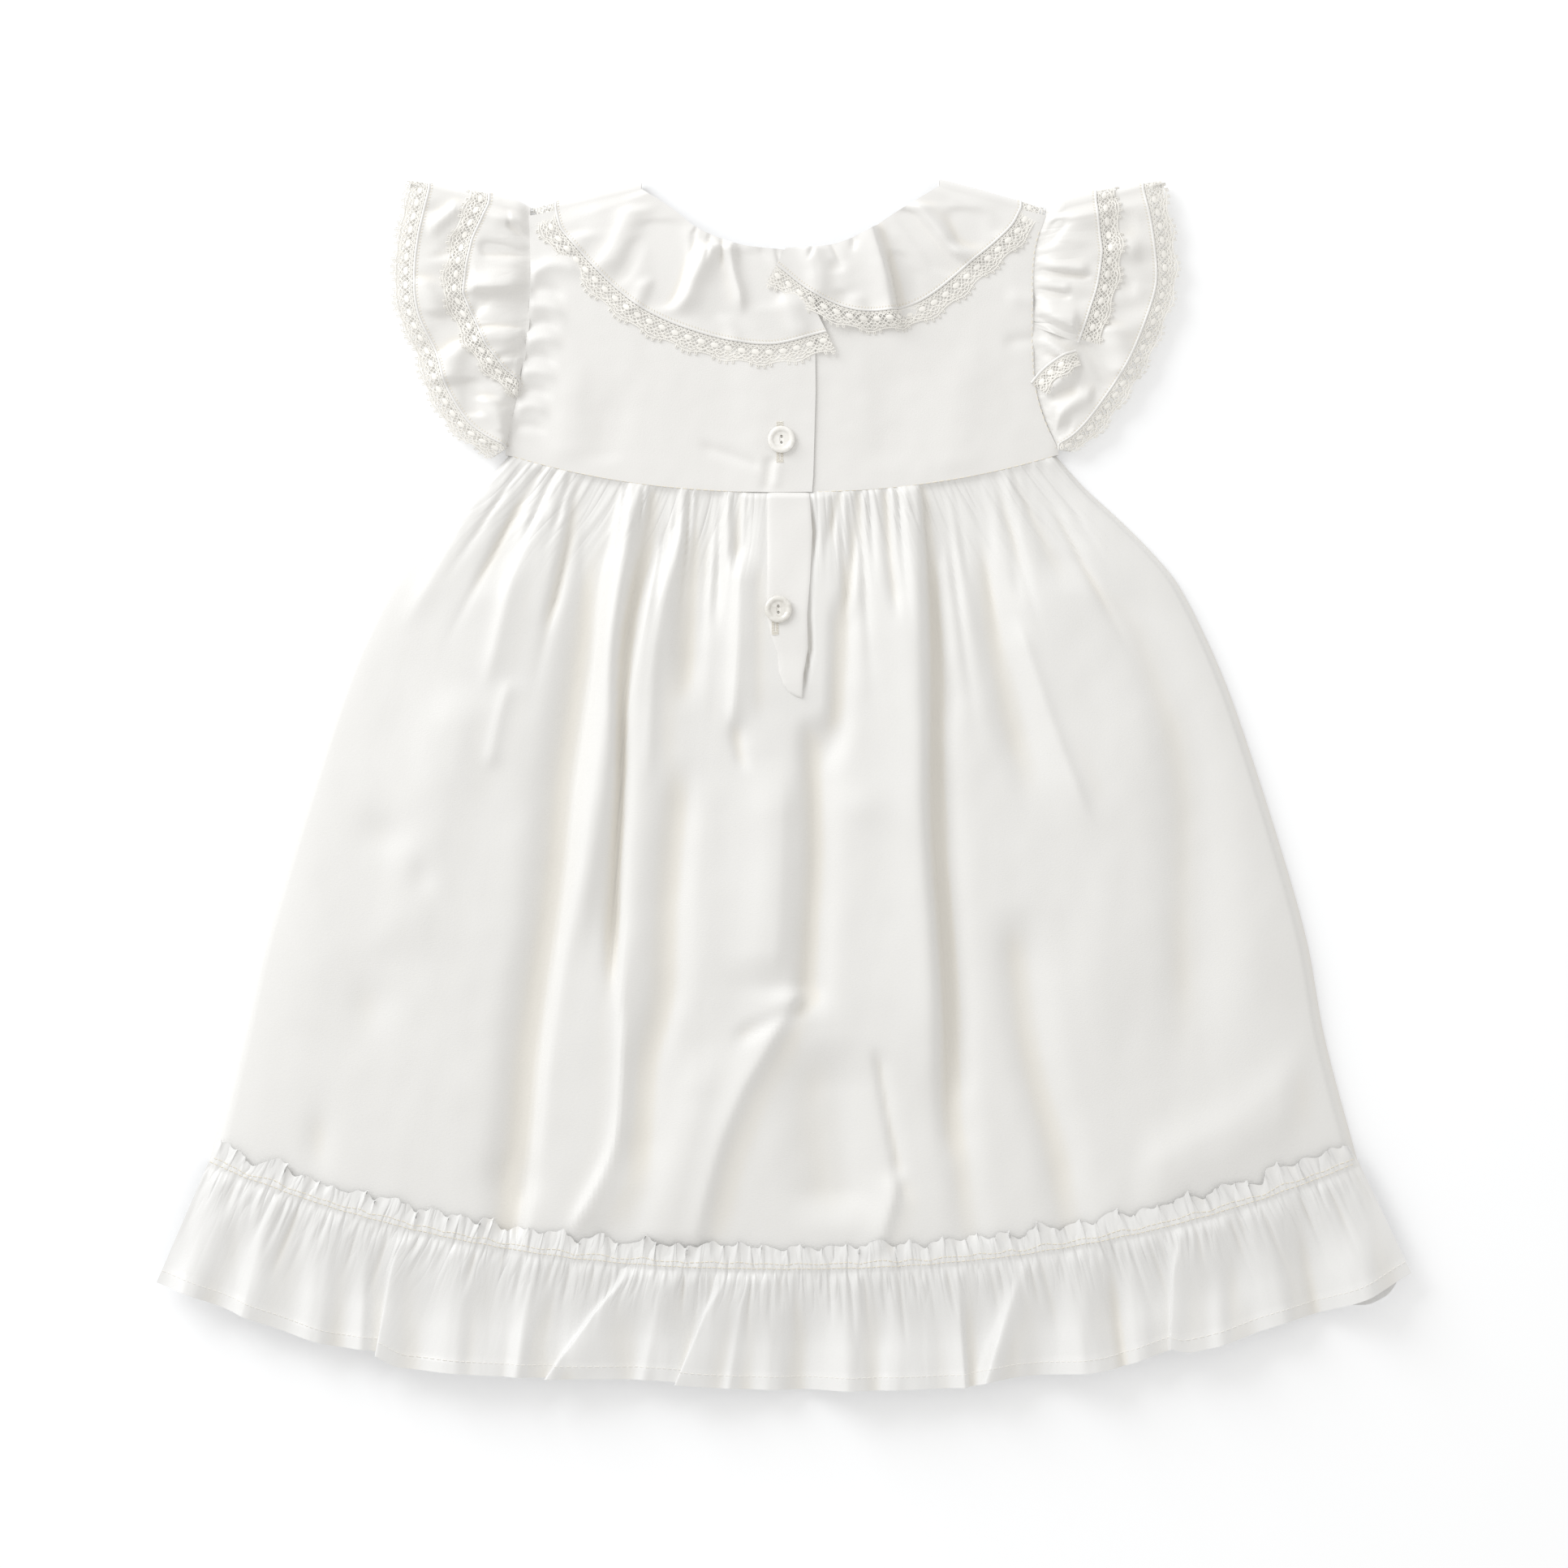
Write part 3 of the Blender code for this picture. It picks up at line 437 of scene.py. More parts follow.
skirt = {
    "sides": [
        (127, -105.9, 104.6), (114.4, -117.8, 116), (101.9, -133.1, 129.5), (89.4, -144.7, 142),
        (76.9, -153.4, 152.2), (51.9, -165.9, 165), (26.9, -175.3, 175), (-23.1, -191.3, 191.3),
        (-60.6, -202.2, 201.9), (-98.1, -210.6, 208.8), (-146, -221.9, 221.6),
    ],
    "waistSag": 14.2, "hemSag": 41.0, "sagPower": 2.25, "puff": 6.5, "rowPower": 1.12,
    "columns": 252, "rows": 180, "slitX": 6.0, "slitWidth": 0.8, "slitFoot": 36.0,
    "folds": [
        Fold(-7, 9, 3.6, (-68, 135, -69, 116, -73, 64, -82, 5, -86, -36, -96, -101, -100, -140, -106, -185), (8, 14)),
        Fold(-6.5, 2.6, 4.6, (-47, 135, -48, 114, -61, 55, -62, 2, -64, -32, -67, -88), (8, 40), 1.7),
        Fold(4.2, 2.6, 9, (-45, 100, -57, 36, -59, 2, -61, -58, -61, -114, -65, -142, -84, -178), (30, 14), 1.25, 0.35),
        Fold(3.6, 5, 5, (-56, 118, -66, 71, -66, 33, -70, 5, -82, -73), (14, 40)),
        Fold(-2, 1.6, 2, (-64, 122, -65, 105, -69, 82), (4, 10), 1.5),
        Fold(1.5, 2.5, 3, (-37, 106, -48, 56, -52, -2), (14, 20), 1.2),
        Fold(-3.6, 4, 4.5, (-26, 122, -29, 105, -35, 74, -38, 26), (6, 24), 1.8),
        Fold(-1.3, 2, 2, (-23, 95, -25, 77, -27, 55)),
        Fold(-2.2, 1.4, 2.4, (-20, 124, -19, 102, -19, 80), (4, 12), 1.5),
        Fold(3, 2.4, 6, (-17, 92, -17.5, 52, -20, 16), (14, 14), 1.2, 0.2),
        Fold(-1.3, 2, 2.5, (-19, 26, -18, 16, -15, 3), (6, 8)),
        Fold(-2.6, 6, 6, (-92, 126, -102, 102, -116, 70)),
        Fold(-1.8, 2.2, 2.8, (-77, 124, -85, 83, -93, 56), (6, 16), 1.5),
        Fold(2.2, 4, 8, (-112, 120, -130, 89, -148, 56), sharp=1.3),
        Fold(2, 3, 6, (-95, 116, -106, 74, -116, 32), sharp=1.25),
        Fold(1.3, 2.4, 3.5, (-105, 42, -110, 24, -114, 4), (8, 8), 1.2),
        Fold(-3, 6, 6, (-38, 12, -43, -42, -45, -81, -53, -110, -56, -156), (24, 20)),
        Fold(2.2, 7, 7, (-29, -98, -38, -135, -50, -180), (20, 8)),
        Fold(4.5, 12, 2.8, (51, 124, 53.5, 52, 53, -14, 57, -70, 60, -130), (16, 50), 1.35, -0.3),
        Fold(-7, 4, 6.5, (54, 134, 57, 52, 58, -14, 61, -61, 64, -120, 66, -150), (8, 40), 1.8),
        Fold(1.6, 3, 5, (57, 95, 61, 66, 66, 32), sharp=1.3),
        Fold(-4, 7, 9, (68, 130, 79, 71, 99, -18), (10, 40)),
        Fold(-1.6, 2.4, 3, (80, 124, 86, 99, 92, 66), (6, 14), 1.5),
        Fold(1.9, 4.5, 3, (89, 66, 103, 24, 120, -20), sharp=1.25),
        Fold(-3, 6, 10, (90, 128, 101, 100, 110, 72), (10, 16)),
        Fold(-2.2, 6, 12, (100, 126, 111, 111, 122, 96)),
        Fold(-3.6, 9, 13, (112, 92, 136, 65, 148, 36, 157, 5, 157, -51, 157, -125), (26, 60)),
        Fold(-2.2, 1.6, 2, (21, 120, 20, 108, 15, 89, 13, 68), (4, 12), 1.4),
        Fold(-3, 2.2, 1.8, (28.5, 122, 28, 108, 26, 85, 23, 62), (4, 14), 1.5),
        Fold(-3, 5, 5, (24, 76, 22, 50, 20, 22, 18, 2), (16, 20)),
        Fold(-2.2, 1.8, 2.6, (36.5, 122, 38, 105, 41, 80, 43, 60), (4, 16), 1.5),
        Fold(-1.3, 1.2, 1.4, (41, 122, 44, 110, 50, 98), (4, 8), 1.5),
        Fold(-1.2, 1.2, 1.2, (46, 122, 48, 108, 52, 97), (4, 8), 1.5),
        Fold(-4.6, 4, 7, (10, 30, 11, 12, 12, -26, 10, -60, 8, -92), (18, 14), 1.8),
        Fold(3.2, 11, 6, (-2, 12, -3, -36, -6, -80), (24, 16)),
        Fold(-1.5, 4, 3, (12, -84, -5, -91, -22, -99), (8, 8), 1.8),
        Fold(3.8, 10, 4, (8, -76, -9, -106, -17, -120, -26, -143, -36, -182), (8, 10), 1.3),
        Fold(-4.4, 13, 13, (18, -96, 17, -125, 20, -172), (22, 16)),
        Fold(-2, 1.6, 3, (35, -100, 39, -124, 44, -150, 45, -162), (10, 8), 1.4),
        Fold(2.6, 5, 2.4, (46, -146, 41, -164, 35, -184), (10, 6), 1.4),
        Fold(-3.5, 7, 8, (90, -45, 92, -73, 97, -109, 106, -141, 113, -185), (24, 12)),
        Fold(-2.4, 6, 6, (66, -118, 69, -145, 73, -182), (20, 10)),
        Fold(3, 16, 12, (132, -158, 143, -150, 175, -133, 206, -108), (16, 16)),
        Fold(1.8, 12, 12, (-122, 42, -138, -20, -148, -70), (20, 20)),
    ],
    # soft dents: x, y, depth, half width and half length
    "dents": [
        (-154, -19, -1.8, 9, 8), (-139, -36, -1.3, 5, 7), (-159, -86, -1.9, 9, 13), (-179, -138, -2.4, 6, 13),
        (-104, -152, -3, 9, 8), (-17, 22, -1, 5, 9), (30, -8, 1.6, 9, 9), (60, 15, 1, 8, 16),
        (-30, -60, 1.6, 14, 22), (135, 10, 1.2, 12, 22), (-128, 20, 1, 12, 20), (-185, -70, 1, 12, 24),
        (122, -70, 1.4, 12, 26), (180, -70, 1.4, 12, 20),
    ],
    # short gathers at the waist: x, length and depth
    "gathers": [
        (-99, 16, 1), (-92.5, 24, 1.2), (-87.8, 18, 1.2), (-82, 12, 0.8), (-77.5, 30, 1.2), (-72, 12, 0.9),
        (-60.6, 22, 1.4), (-54, 14, 1), (-44, 20, 1.4), (-41, 12, 1), (-36, 24, 1.4), (-33, 14, 1),
        (-24, 18, 1.3), (-14, 10, 0.7), (15.5, 9, 0.8), (18, 14, 0.9), (24.5, 10, 0.9), (32, 12, 0.9),
        (38.5, 9, 0.9), (-28, 26, 1.1), (-17, 16, 1), (21.5, 22, 1), (28.5, 26, 1.2), (42.5, 20, 1),
        (52.5, 30, 1.3), (60.6, 34, 1.3), (65.3, 16, 1), (71.9, 26, 1.3), (74.4, 12, 0.9),
        (81, 22, 1.2), (87, 12, 0.9), (93, 26, 1.2), (98, 14, 0.9),
    ],
}
# the edge of the placket's lap: y and x
lapRows = [
    (33, 7), (42, 7.4), (52, 9.2), (65, 8.9), (79, 10), (97, 10.9), (113, 9.6),
    (133, 11.3), (165, 12.2), (206, 11.8),
]
leftSide = Curve([(row[1], row[0]) for row in skirt["sides"]])
rightSide = Curve([(row[2], row[0]) for row in skirt["sides"]])


def skirtRow(down, chooseX):
    left, right = leftSide.at(down), rightSide.at(down)
    x = chooseX(left.x, right.x)
    offMiddle = min(abs(x - (left.x + right.x) / 2) / ((right.x - left.x) / 2), 1.0)
    ends = mix(left.y, right.y, (x - left.x) / (right.x - left.x))
    return x, ends - mix(skirt["waistSag"], skirt["hemSag"], down) * (1 - offMiddle ** skirt["sagPower"]), offMiddle


def skirtAt(share, down):
    return skirtRow(down, lambda left, right: mix(left, right, share))


def skirtEdgeY(x, down):
    return skirtRow(down, lambda left, right: min(max(x, left), right))[1]


def waistY(x):
    return skirtEdgeY(x, 0)


def skirtTop(x, y, offMiddle, depth):
    # the outer face of the back skirt, and how far a fold tips it sideways
    folds, lean = foldsAt(skirt["folds"], x, y)
    for atX, atY, rise, wide, long in skirt["dents"]:
        far = ((x - atX) / wide) ** 2 + ((y - atY) / long) ** 2
        if far < 6:
            folds += rise * math.exp(-far)
    gathers = 0.0
    if depth < 110:
        for atX, long, deep in skirt["gathers"]:
            off = (x - atX * (1 + (0.0022 + 0.0046 * ease(70, 104, abs(atX))) * depth)) / (0.95 + 0.018 * depth)
            if abs(off) < 3:
                gathers -= 2.0 * deep * math.exp(-(abs(off) ** 1.6)) * ease(3.4 * long, 0.6 * long, depth)
        gathers += 0.35 * math.sin(x * 1.1 + 1.6 * math.sin(x / 7)) * math.exp(-depth / 14)
    folds += 0.7 * ripple(x, y * 0.6, 34, 3.1) + 0.22 * ripple(x, y * 0.7, 9, 7.7)
    folds *= mix(0.5, 1.0, ease(2, 32, y - skirtEdgeY(x, 1)))
    waist = mix(0.35, 1.0, ease(0, 60, depth))
    pressed = ease(-13, -8, x) * ease(20, 14, x) * ease(20, 32, y)
    rise = skirt["puff"] * waist + (folds + gathers) * (1 - pressed)
    lap = ply * ease(-28, -16, x) * ease(36, 22, x) * ease(24, 40, y)
    rise = 0.5 * (rise + math.hypot(rise, 1.2)) + lap
    beside = x - along(lapRows, y) - 0.7
    if abs(beside) < 3:
        rise -= (1.0 + 0.7 * math.sin(y / 6.5 + math.sin(y / 17))) * math.exp(-(beside**2)) * ease(34, 42, y)
    side = math.sqrt(max(1 - offMiddle**7, 0.0))
    sewn = bodiceUnder(x, y) - layer - 0.2
    rise = mix(sewn, rise * side, ease(-0.2, 2.4, depth))
    return mix(0.95, layer + wall + rise, ease(1.0, 0.985, offMiddle)), lean * (1 - pressed) * side


def makeBackSkirt():
    columns, rows = skirt["columns"], skirt["rows"]
    leftColumns = columns // 2
    rightColumns = columns - leftColumns - 1

    def place(column, row):
        def chooseX(left, right):
            if column <= leftColumns:
                return mix(left, skirt["slitX"], column / leftColumns)
            return mix(skirt["slitX"] + skirt["slitWidth"], right, (column - leftColumns - 1) / rightColumns)

        x, y, offMiddle = skirtRow((row / rows) ** skirt["rowPower"], chooseX)
        height, lean = skirtTop(x, y, offMiddle, waistY(x) - y)
        return Vector((x + lean, y, height))

    def slit(column, row):
        foot = skirtAt(0.5, ((row + 1) / rows) ** skirt["rowPower"])[1]
        return column == leftColumns and foot > skirt["slitFoot"]

    piece = clothPiece(
        "back_skirt_cloth", columns, rows, place, (450, 330), ["back_skirt"], cut=slit, material=skirtSatin,
    )


def makeFrontSkirt():
    columns, rows = 120, 90

    def place(column, row):
        x, y, offMiddle = skirtAt(column / columns, row / rows)
        crease = 0.5 * math.sin(x / 5.5 + 1.4 * math.sin(x / 23 + y / 60)) * ease(-190, 60, y)
        lift = 0.25 * (1 + ripple(x, y * 0.5, 26, 5.0)) + 0.3 * max(crease, -0.2) ** 2
        return Vector((x, y + gap * (row == rows), clothThickness + lift))

    piece = clothPiece("front_skirt_cloth", columns, rows, place, (450, 330), ["front_skirt"])


# Flounce

flounce = {
    "hem": [
        (-241.6, -191.9), (-213.1, -202.5), (-178.1, -215.3), (-151.3, -219.5), (-142.2, -224.6),
        (-102.8, -228.1), (-50, -229.6), (-12.2, -233), (66.6, -232.3), (89.7, -228.4), (125, -225.4),
        (153.1, -216.9), (162, -218.3), (189.1, -208.6), (222.8, -198.6), (241.6, -188.4),
    ],
    "columns": 900, "heading": 9.8, "headingRows": 8, "rows": 26, "rest": 2.6, "hemLift": 3.0, "lift": 0.8,
    "pleat": 7.4,
    # a wave by where it stands at the seam and at the hem: height, left, right, sharp and lean
    "folds": [
        (-214, -230, 4, 6, 8, 2, 0), (-196, -206, 5, 5, 7, 1.6, 0.3), (-176, -181, 4.5, 6, 6, 2, 0),
        (-160, -163, 2.2, 3, 3, 1.5, 0), (-146, -150, 7.5, 3, 12, 1.6, 0.9), (-124, -128, 4, 6, 6, 2, 0),
        (-96, -103, 4.2, 3, 4, 1.6, 0), (-78, -84, 2.4, 4, 4, 2, 0), (-56, -85, 7.5, 3, 13, 1.6, 0.9),
        (-44, -54, 2.6, 2.6, 5, 1.4, 0), (-21, -35, 7.5, 3, 13, 1.6, 0.9), (-12, -19, 2.4, 1.8, 4, 1.3, 0),
        (-2, -4, 2.8, 5, 7, 2, 0), (24, 26, 4, 6, 7, 2, 0), (45, 42, 3, 5, 5, 2, 0),
        (66, 68, 5.5, 4, 2.6, 1.3, -0.3), (94, 79, 5.5, 3, 7, 1.3, 0.3), (112, 118, 4.6, 6, 7, 2, 0),
        (125, 131, -3, 2.5, 2.5, 1.6, 0), (134, 138, 3.5, 5, 5, 2, 0), (153, 155, 7.5, 3, 12, 1.6, 0.9),
        (166, 170, 2, 3, 3, 1.6, 0), (180, 190, 5, 7, 8, 2, 0), (196, 206, -2.5, 3, 4, 1.6, 0),
        (206, 222, 4.5, 6, 8, 2, 0),
    ],
}
hemCurve = Curve(flounce["hem"])
chance = random.Random(11)
smallGathers = []
gatherAt = 0.004
while gatherAt < 0.998:
    deep, wide = chance.uniform(0.7, 2.2), chance.uniform(0.7, 1.5)
    smallGathers.append((gatherAt, deep, wide, 0.12 + 0.65 * chance.random() ** 2))
    gatherAt += chance.uniform(0.0042, 0.0092)


def flounceRay(share):
    seam = Vector(skirtAt(share, 1)[:2])
    hem = hemCurve.at(share)
    return seam, hem, (hem - seam).normalized()


def flounceWave(share, down):
    seam, hem, _ = flounceRay(share)
    x = mix(seam.x, hem.x, down)
    height = lean = 0.0
    for seamX, hemX, high, left, right, sharp, tip in flounce["folds"]:
        off = x - mix(seamX, hemX, down)
        far = abs(off) / (left if off < 0 else right)
        if far < 3.2:
            rise = high * math.exp(-((math.hypot(far, 0.15) - 0.15) ** sharp)) * mix(0.25, 1.0, down)
            height += rise
            lean -= tip * rise
    for at, deep, wide, long in smallGathers:
        off = (share - at) * seamLength / (wide * mix(1.0, 2.4, down))
        if abs(off) < 3 and down < long:
            height -= deep * math.exp(-(abs(off) ** 1.5)) * ease(long, long * 0.2, down) * ease(0, 0.04, down)
    height += mix(0.6, 3.2, down) * ripple(x, down * 12, 15, 9.0) + 0.4 * ripple(x, down * 12, 6, 4.0)
    height += mix(0.6, 4.0, down) * ripple(x, down * 16, 27, 2.0)
    ends = ease(0.0, 0.035, share) * ease(1.0, 0.965, share)
    return height * mix(0.5, 1.0, ends) + 1.1 * mix(1.0, 0.3, down), lean * ends


overKnown = {}


def skirtNear(x, y):
    left, right = skirtAt(0, 1)[0], skirtAt(1, 1)[0]
    offMiddle = min(abs(x - (left + right) / 2) / ((right - left) / 2), 1.0)
    return skirtTop(x, y, offMiddle, 200)[0]


def overSkirt(share):
    # how high the flounce's seam stands on the skirt's foot
    if share not in overKnown:
        seam = flounceRay(share)[0]
        heights = [skirtNear(seam.x + off, seam.y + rise) for off in (-3, 0, 3) for rise in (0, 5, 9)]
        overKnown[share] = mix(sum(heights) / len(heights), max(heights), 0.7) + flounce["lift"]
    return overKnown[share]


def flouncePoint(share, step, lift=0.0):
    # step runs from -1 at the heading's edge over 0 at the seam to 1 at the hem
    seam, hem, way = flounceRay(share)
    side = Vector((-way.y, way.x))
    far = share * seamLength
    over = overSkirt(share) + wall
    if step <= 0:
        up = -step
        swing = 2 * math.pi * far / flounce["pleat"] + 4.6 * noise.noise(Vector((far / 11, 0, 4.2)))
        swing += 1.8 * math.sin(far / 17)
        size = 0.95 + 1.1 * noise.noise(Vector((far / 9, 3, 0)))
        tall = 0.92 + 0.42 * noise.noise(Vector((far / 10, 6, 2))) + 0.1 * size * math.sin(swing * 0.5 + 1)
        point = seam - way * flounce["heading"] * up * tall
        point += side * 0.85 * size * math.cos(swing) * up**1.3
        point -= way * 0.5 * size * math.sin(2 * swing) * up**2
        near = skirtNear(point.x, point.y) + wall + 0.5
        height = mix(over, min(over, near), up) + 0.48 * size * (1 + math.sin(swing)) * up - 0.3 * up
        if step > -0.12:
            height -= 0.25 * (1 - up / 0.12)
        return Vector((point.x, point.y, height + lift))
    point = seam + (hem - seam) * step
    wave, lean = flounceWave(share, step)
    free = flounce["rest"] + wall + flounce["hemLift"] * step + wave
    height = mix(over - 0.5, free, ease(0, 0.65, step)) + wave * 0.5 * ease(0, 0.1, step) * ease(0.65, 0.1, step)
    fromHem = (1 - step) * (hem - seam).length
    height += 0.3 * ease(5.2, 4.9, fromHem)
    return Vector((point.x + lean * ease(0, 0.4, step), point.y, max(height, 1.6) + lift))


def makeBackFlounce():
    columns = flounce["columns"]
    steps = [row / flounce["headingRows"] - 1 for row in range(flounce["headingRows"])]
    steps += [0.0, 0.015, 0.035, 0.06, 0.09]
    steps += [mix(0.09, 0.90, (row + 1) / flounce["rows"]) for row in range(flounce["rows"])]
    steps += [0.915, 0.93, 0.95, 0.975, 1.0]

    def place(column, row):
        return flouncePoint(column / columns, steps[row])

    piece = clothPiece(
        "back_flounce_cloth", columns, len(steps) - 1, place, (800, 62), ["back_flounce"], material=thinSatin, near=5,
    )


def makeFrontFlounce():
    columns, rows = 400, 12

    def place(column, row):
        share = mix(0.004, 1.0, column / columns)
        seam, hem, way = flounceRay(share)
        shows = ease(0.93, 0.965, share) * ease(1.0, 0.975, share)
        foot = hem - way * mix(1.5, -3.5, shows)
        down = row / rows
        point = seam + (foot - seam) * down + way * gap * (row == 0)
        fold = 0.5 + 0.5 * math.sin(share * 260 + 2 * math.sin(share * 47))
        lift = 0.7 * fold * mix(1.0, 0.5, down) + 0.2 * ripple(point.x, point.y, 12, 2.0)
        return Vector((point.x, point.y, clothThickness + 0.15 + max(lift, 0)))

    piece = clothPiece("front_flounce_cloth", columns, rows, place, (800, 52), ["front_flounce"], material=thinSatin)


# Bodice

bodice = {
    "puff": 1.6, "halfWidth": 106.0, "bandLeft": -6.4, "lapStart": -26.0, "lapEnd": -8.0,
    "backTop": [
        (-97, 219.2), (-56, 228), (-42.8, 221), (-33.1, 213.5), (-16.6, 207.2), (0, 205.2),
        (19.1, 207), (32.2, 212.4), (42.5, 219.4), (60, 229.2), (101, 219.2),
    ],
    "frontTop": [
        (-97, 219.2), (-56, 228), (-40, 208), (-22, 196), (0, 192), (22, 196),
        (42, 208), (60, 229.2), (101, 219.2),
    ],
    "leftArmhole": [(-106.8, 129.6), (-101.6, 153.4), (-98.2, 176.9), (-97, 200), (-97.8, 220.4)],
    "rightArmhole": [(105.6, 129), (99.8, 142.8), (96.6, 155.9), (95.8, 180), (96.6, 205), (101, 220.4)],
    "creases": [
        Fold(1.6, 3, 2.4, (-98, 196, -90, 200, -82, 199, -76, 194), (2, 7), 1.5),
        Fold(-1.2, 2.4, 2.4, (-98, 190, -91, 191, -83, 187), (2, 6), 1.6),
        Fold(1.3, 2.6, 2, (-99, 184, -91, 184, -82, 180), (2, 7), 1.5),
        Fold(-1.2, 1.8, 2.4, (-100, 176, -92, 178, -85, 175), (2, 6), 1.6),
        Fold(1.2, 2.4, 2, (-100, 170, -92, 172, -84, 169), (2, 7), 1.5),
        Fold(-1.2, 1.8, 2.4, (-101, 164, -94, 165, -86, 161), (2, 6), 1.6),
        Fold(1.2, 2.4, 2, (-102, 158, -95, 159, -86, 156), (2, 7), 1.5),
        Fold(-1.1, 1.8, 2.2, (-103, 151, -96, 152, -88, 149), (2, 6), 1.6),
        Fold(1.1, 2.2, 2, (-104, 144, -97, 146, -89, 142), (2, 6), 1.5),
        Fold(-1, 1.8, 2.2, (-105, 138, -97, 138, -90, 135), (2, 6), 1.6),
        Fold(0.8, 3, 3, (99, 186, 92, 187, 84, 188), (2, 6), 1.6),
        Fold(-0.8, 2.4, 2.4, (99, 172, 91, 171, 83, 170), (2, 6), 1.6),
        Fold(-0.6, 6, 6, (-70, 122, -66, 140, -60, 160), (6, 20)),
        Fold(0.9, 6, 6, (-84, 120, -82, 145, -80, 170), (10, 20)),
        Fold(-0.9, 2, 2.5, (-34, 131, -22, 127, -8, 122), (6, 4), 1.6),
        Fold(-0.8, 2, 2.5, (-5, 127, -6, 120, -7, 112), (3, 3), 1.6),
        Fold(0.7, 1.6, 2, (-2, 126, -3, 120, -4, 113), (3, 3), 1.5),
        Fold(-0.8, 8, 10, (40, 120, 42, 140, 40, 170), (10, 20)),
        Fold(0.8, 7, 8, (66, 118, 68, 145, 72, 175), (8, 20)),
    ],
}


def armhole(name, inward):
    curve = Curve(bodice[name])
    rows = sorted((curve.at(step / 22) for step in range(23)), key=lambda point: point.y)
    return lambda y: along(rows, y, 1, 0) + inward


leftArmhole = armhole("leftArmhole", -0.7)
rightArmhole = armhole("rightArmhole", 0.3)


def bodiceUnder(x, y):
    puff = bodice["puff"] * math.sqrt(max(1 - (x / bodice["halfWidth"]) ** 6, 0.0)) * ease(230, 200, y)
    return layer * (1 + ease(118, 196, y)) + puff


def bodiceTop(x, y, lapped):
    creases = foldsAt(bodice["creases"], x, y)[0]
    soft = 0.22 * ripple(x, y, 26, 1.4) + 0.12 * ripple(x, y, 7, 8.0)
    rise = ply * ease(bodice["lapStart"], bodice["lapEnd"], x) if lapped else 0.0
    calm = ease(0, 14, x - bodice["lapEnd"]) if not lapped else 1.0
    toSeam = y - waistY(x)
    rolled = 0.1 * math.exp(-max(toSeam, 0) / 0.7)
    toArm = min(x - leftArmhole(y), rightArmhole(y) - x)
    rolled += 0.15 * math.exp(-max(toArm, 0) / 0.8)
    return bodiceUnder(x, y) + wall + rise + (creases + soft) * calm - rolled


def bodicePanel(name, columns, rows, left, right, top, height, nodes):
    def place(column, row):
        share, up = column / columns, row / rows
        sideY = mix(127.0, top[0][1], up)
        x = mix(left(sideY), right(sideY), share)
        y = mix(waistY(x) - 0.3, along(top, x), up)
        return Vector((x, y, height(x, y)))

    clothPiece(name, columns, rows, place, (200, 100), nodes)


def makeBodice():
    def frontTop(x, y):
        return layer * ease(132, 150, y) + clothThickness + 0.2 + 0.2 * ripple(x, y, 18, 6.0)

    bodicePanel(
        "front_bodice_cloth", 90, 60, leftArmhole, rightArmhole, bodice["frontTop"], frontTop,
        ["front_bodice"],
    )
    bodicePanel(
        "back_bodice_right_cloth", 90, 90, lambda y: bodice["bandLeft"], rightArmhole, bodice["backTop"],
        lambda x, y: bodiceTop(x, y, False), ["back_bodice_right"],
    )
    bodicePanel(
        "back_bodice_left_cloth", 100, 90, leftArmhole, lambda y: along(lapRows, y), bodice["backTop"],
        lambda x, y: bodiceTop(x, y, True), ["back_bodice_left"],
    )


# Cloth folded over the shoulder: the collar's halves, the sleeves' tiers and their lace


class Folded:
    # at is 0 to 1 on the back half, 1 to 2 over the shoulder and 2 to 3 on the front half; back and
    # front give a place in plan, top the height of the back half, rest that of the front half
    def __init__(self, back, front, top, rest, start):
        self.back, self.front, self.top, self.rest, self.start = back, front, top, rest, start
        self.seams = [self.seamShare(step / 40) for step in range(121)]
        self.lengths = None

    def seamShare(self, at):
        s = 1 - (1 - self.start) * max(1 - at, at - 2, 0)
        path = self.back if at < 2 else self.front
        return max(1 - laceWidth / (path(s, 1) - path(s, 0)).length, 0.04)

    def seam(self, at):
        # the share of the width where the cloth ends and the lace begins
        index = min(int(at * 40), 119)
        return mix(self.seams[index], self.seams[index + 1], at * 40 - index)

    def point(self, at, across, lift=0.0):
        if at <= 1:
            s = mix(self.start, 1, at)
            place = self.back(s, across)
            return Vector((place.x, place.y, self.top(s, across) + lift))
        if at < 2:
            turn = math.pi * (at - 1)
            place = self.back(1, across)
            high = self.top(1, across)
            radius = (high - self.rest) / 2
            return Vector((
                place.x, place.y + (radius + lift) * math.sin(turn),
                max(self.rest + radius + (radius + lift) * math.cos(turn), self.rest),
            ))
        s = mix(1, self.start, at - 2)
        place = self.front(s, across)
        soft = (0.4 + 0.35 * ripple(place.x, place.y, 9, 1.0)) * ease(2.0, 2.15, at)
        return Vector((place.x, place.y, self.rest + soft - min(lift, 0.0)))

    def onLace(self, at, share, lift=0.0):
        return self.point(at, mix(self.seam(at), 1, share), lift)

    def measure(self):
        steps = 240
        self.lengths = [(0.0, 0.0)]
        before = self.onLace(0, 0.5)
        for step in range(1, steps + 1):
            here = self.onLace(3 * step / steps, 0.5)
            self.lengths.append((self.lengths[-1][0] + (here - before).length, 3 * step / steps))
            before = here
        return self.lengths[-1][0]

    def atLength(self, length):
        return along(self.lengths, length)


def fan(inner, outer):
    inner, outer = Curve(inner), Curve(outer)
    return lambda s, t: inner.at(s).lerp(outer.at(s), t)


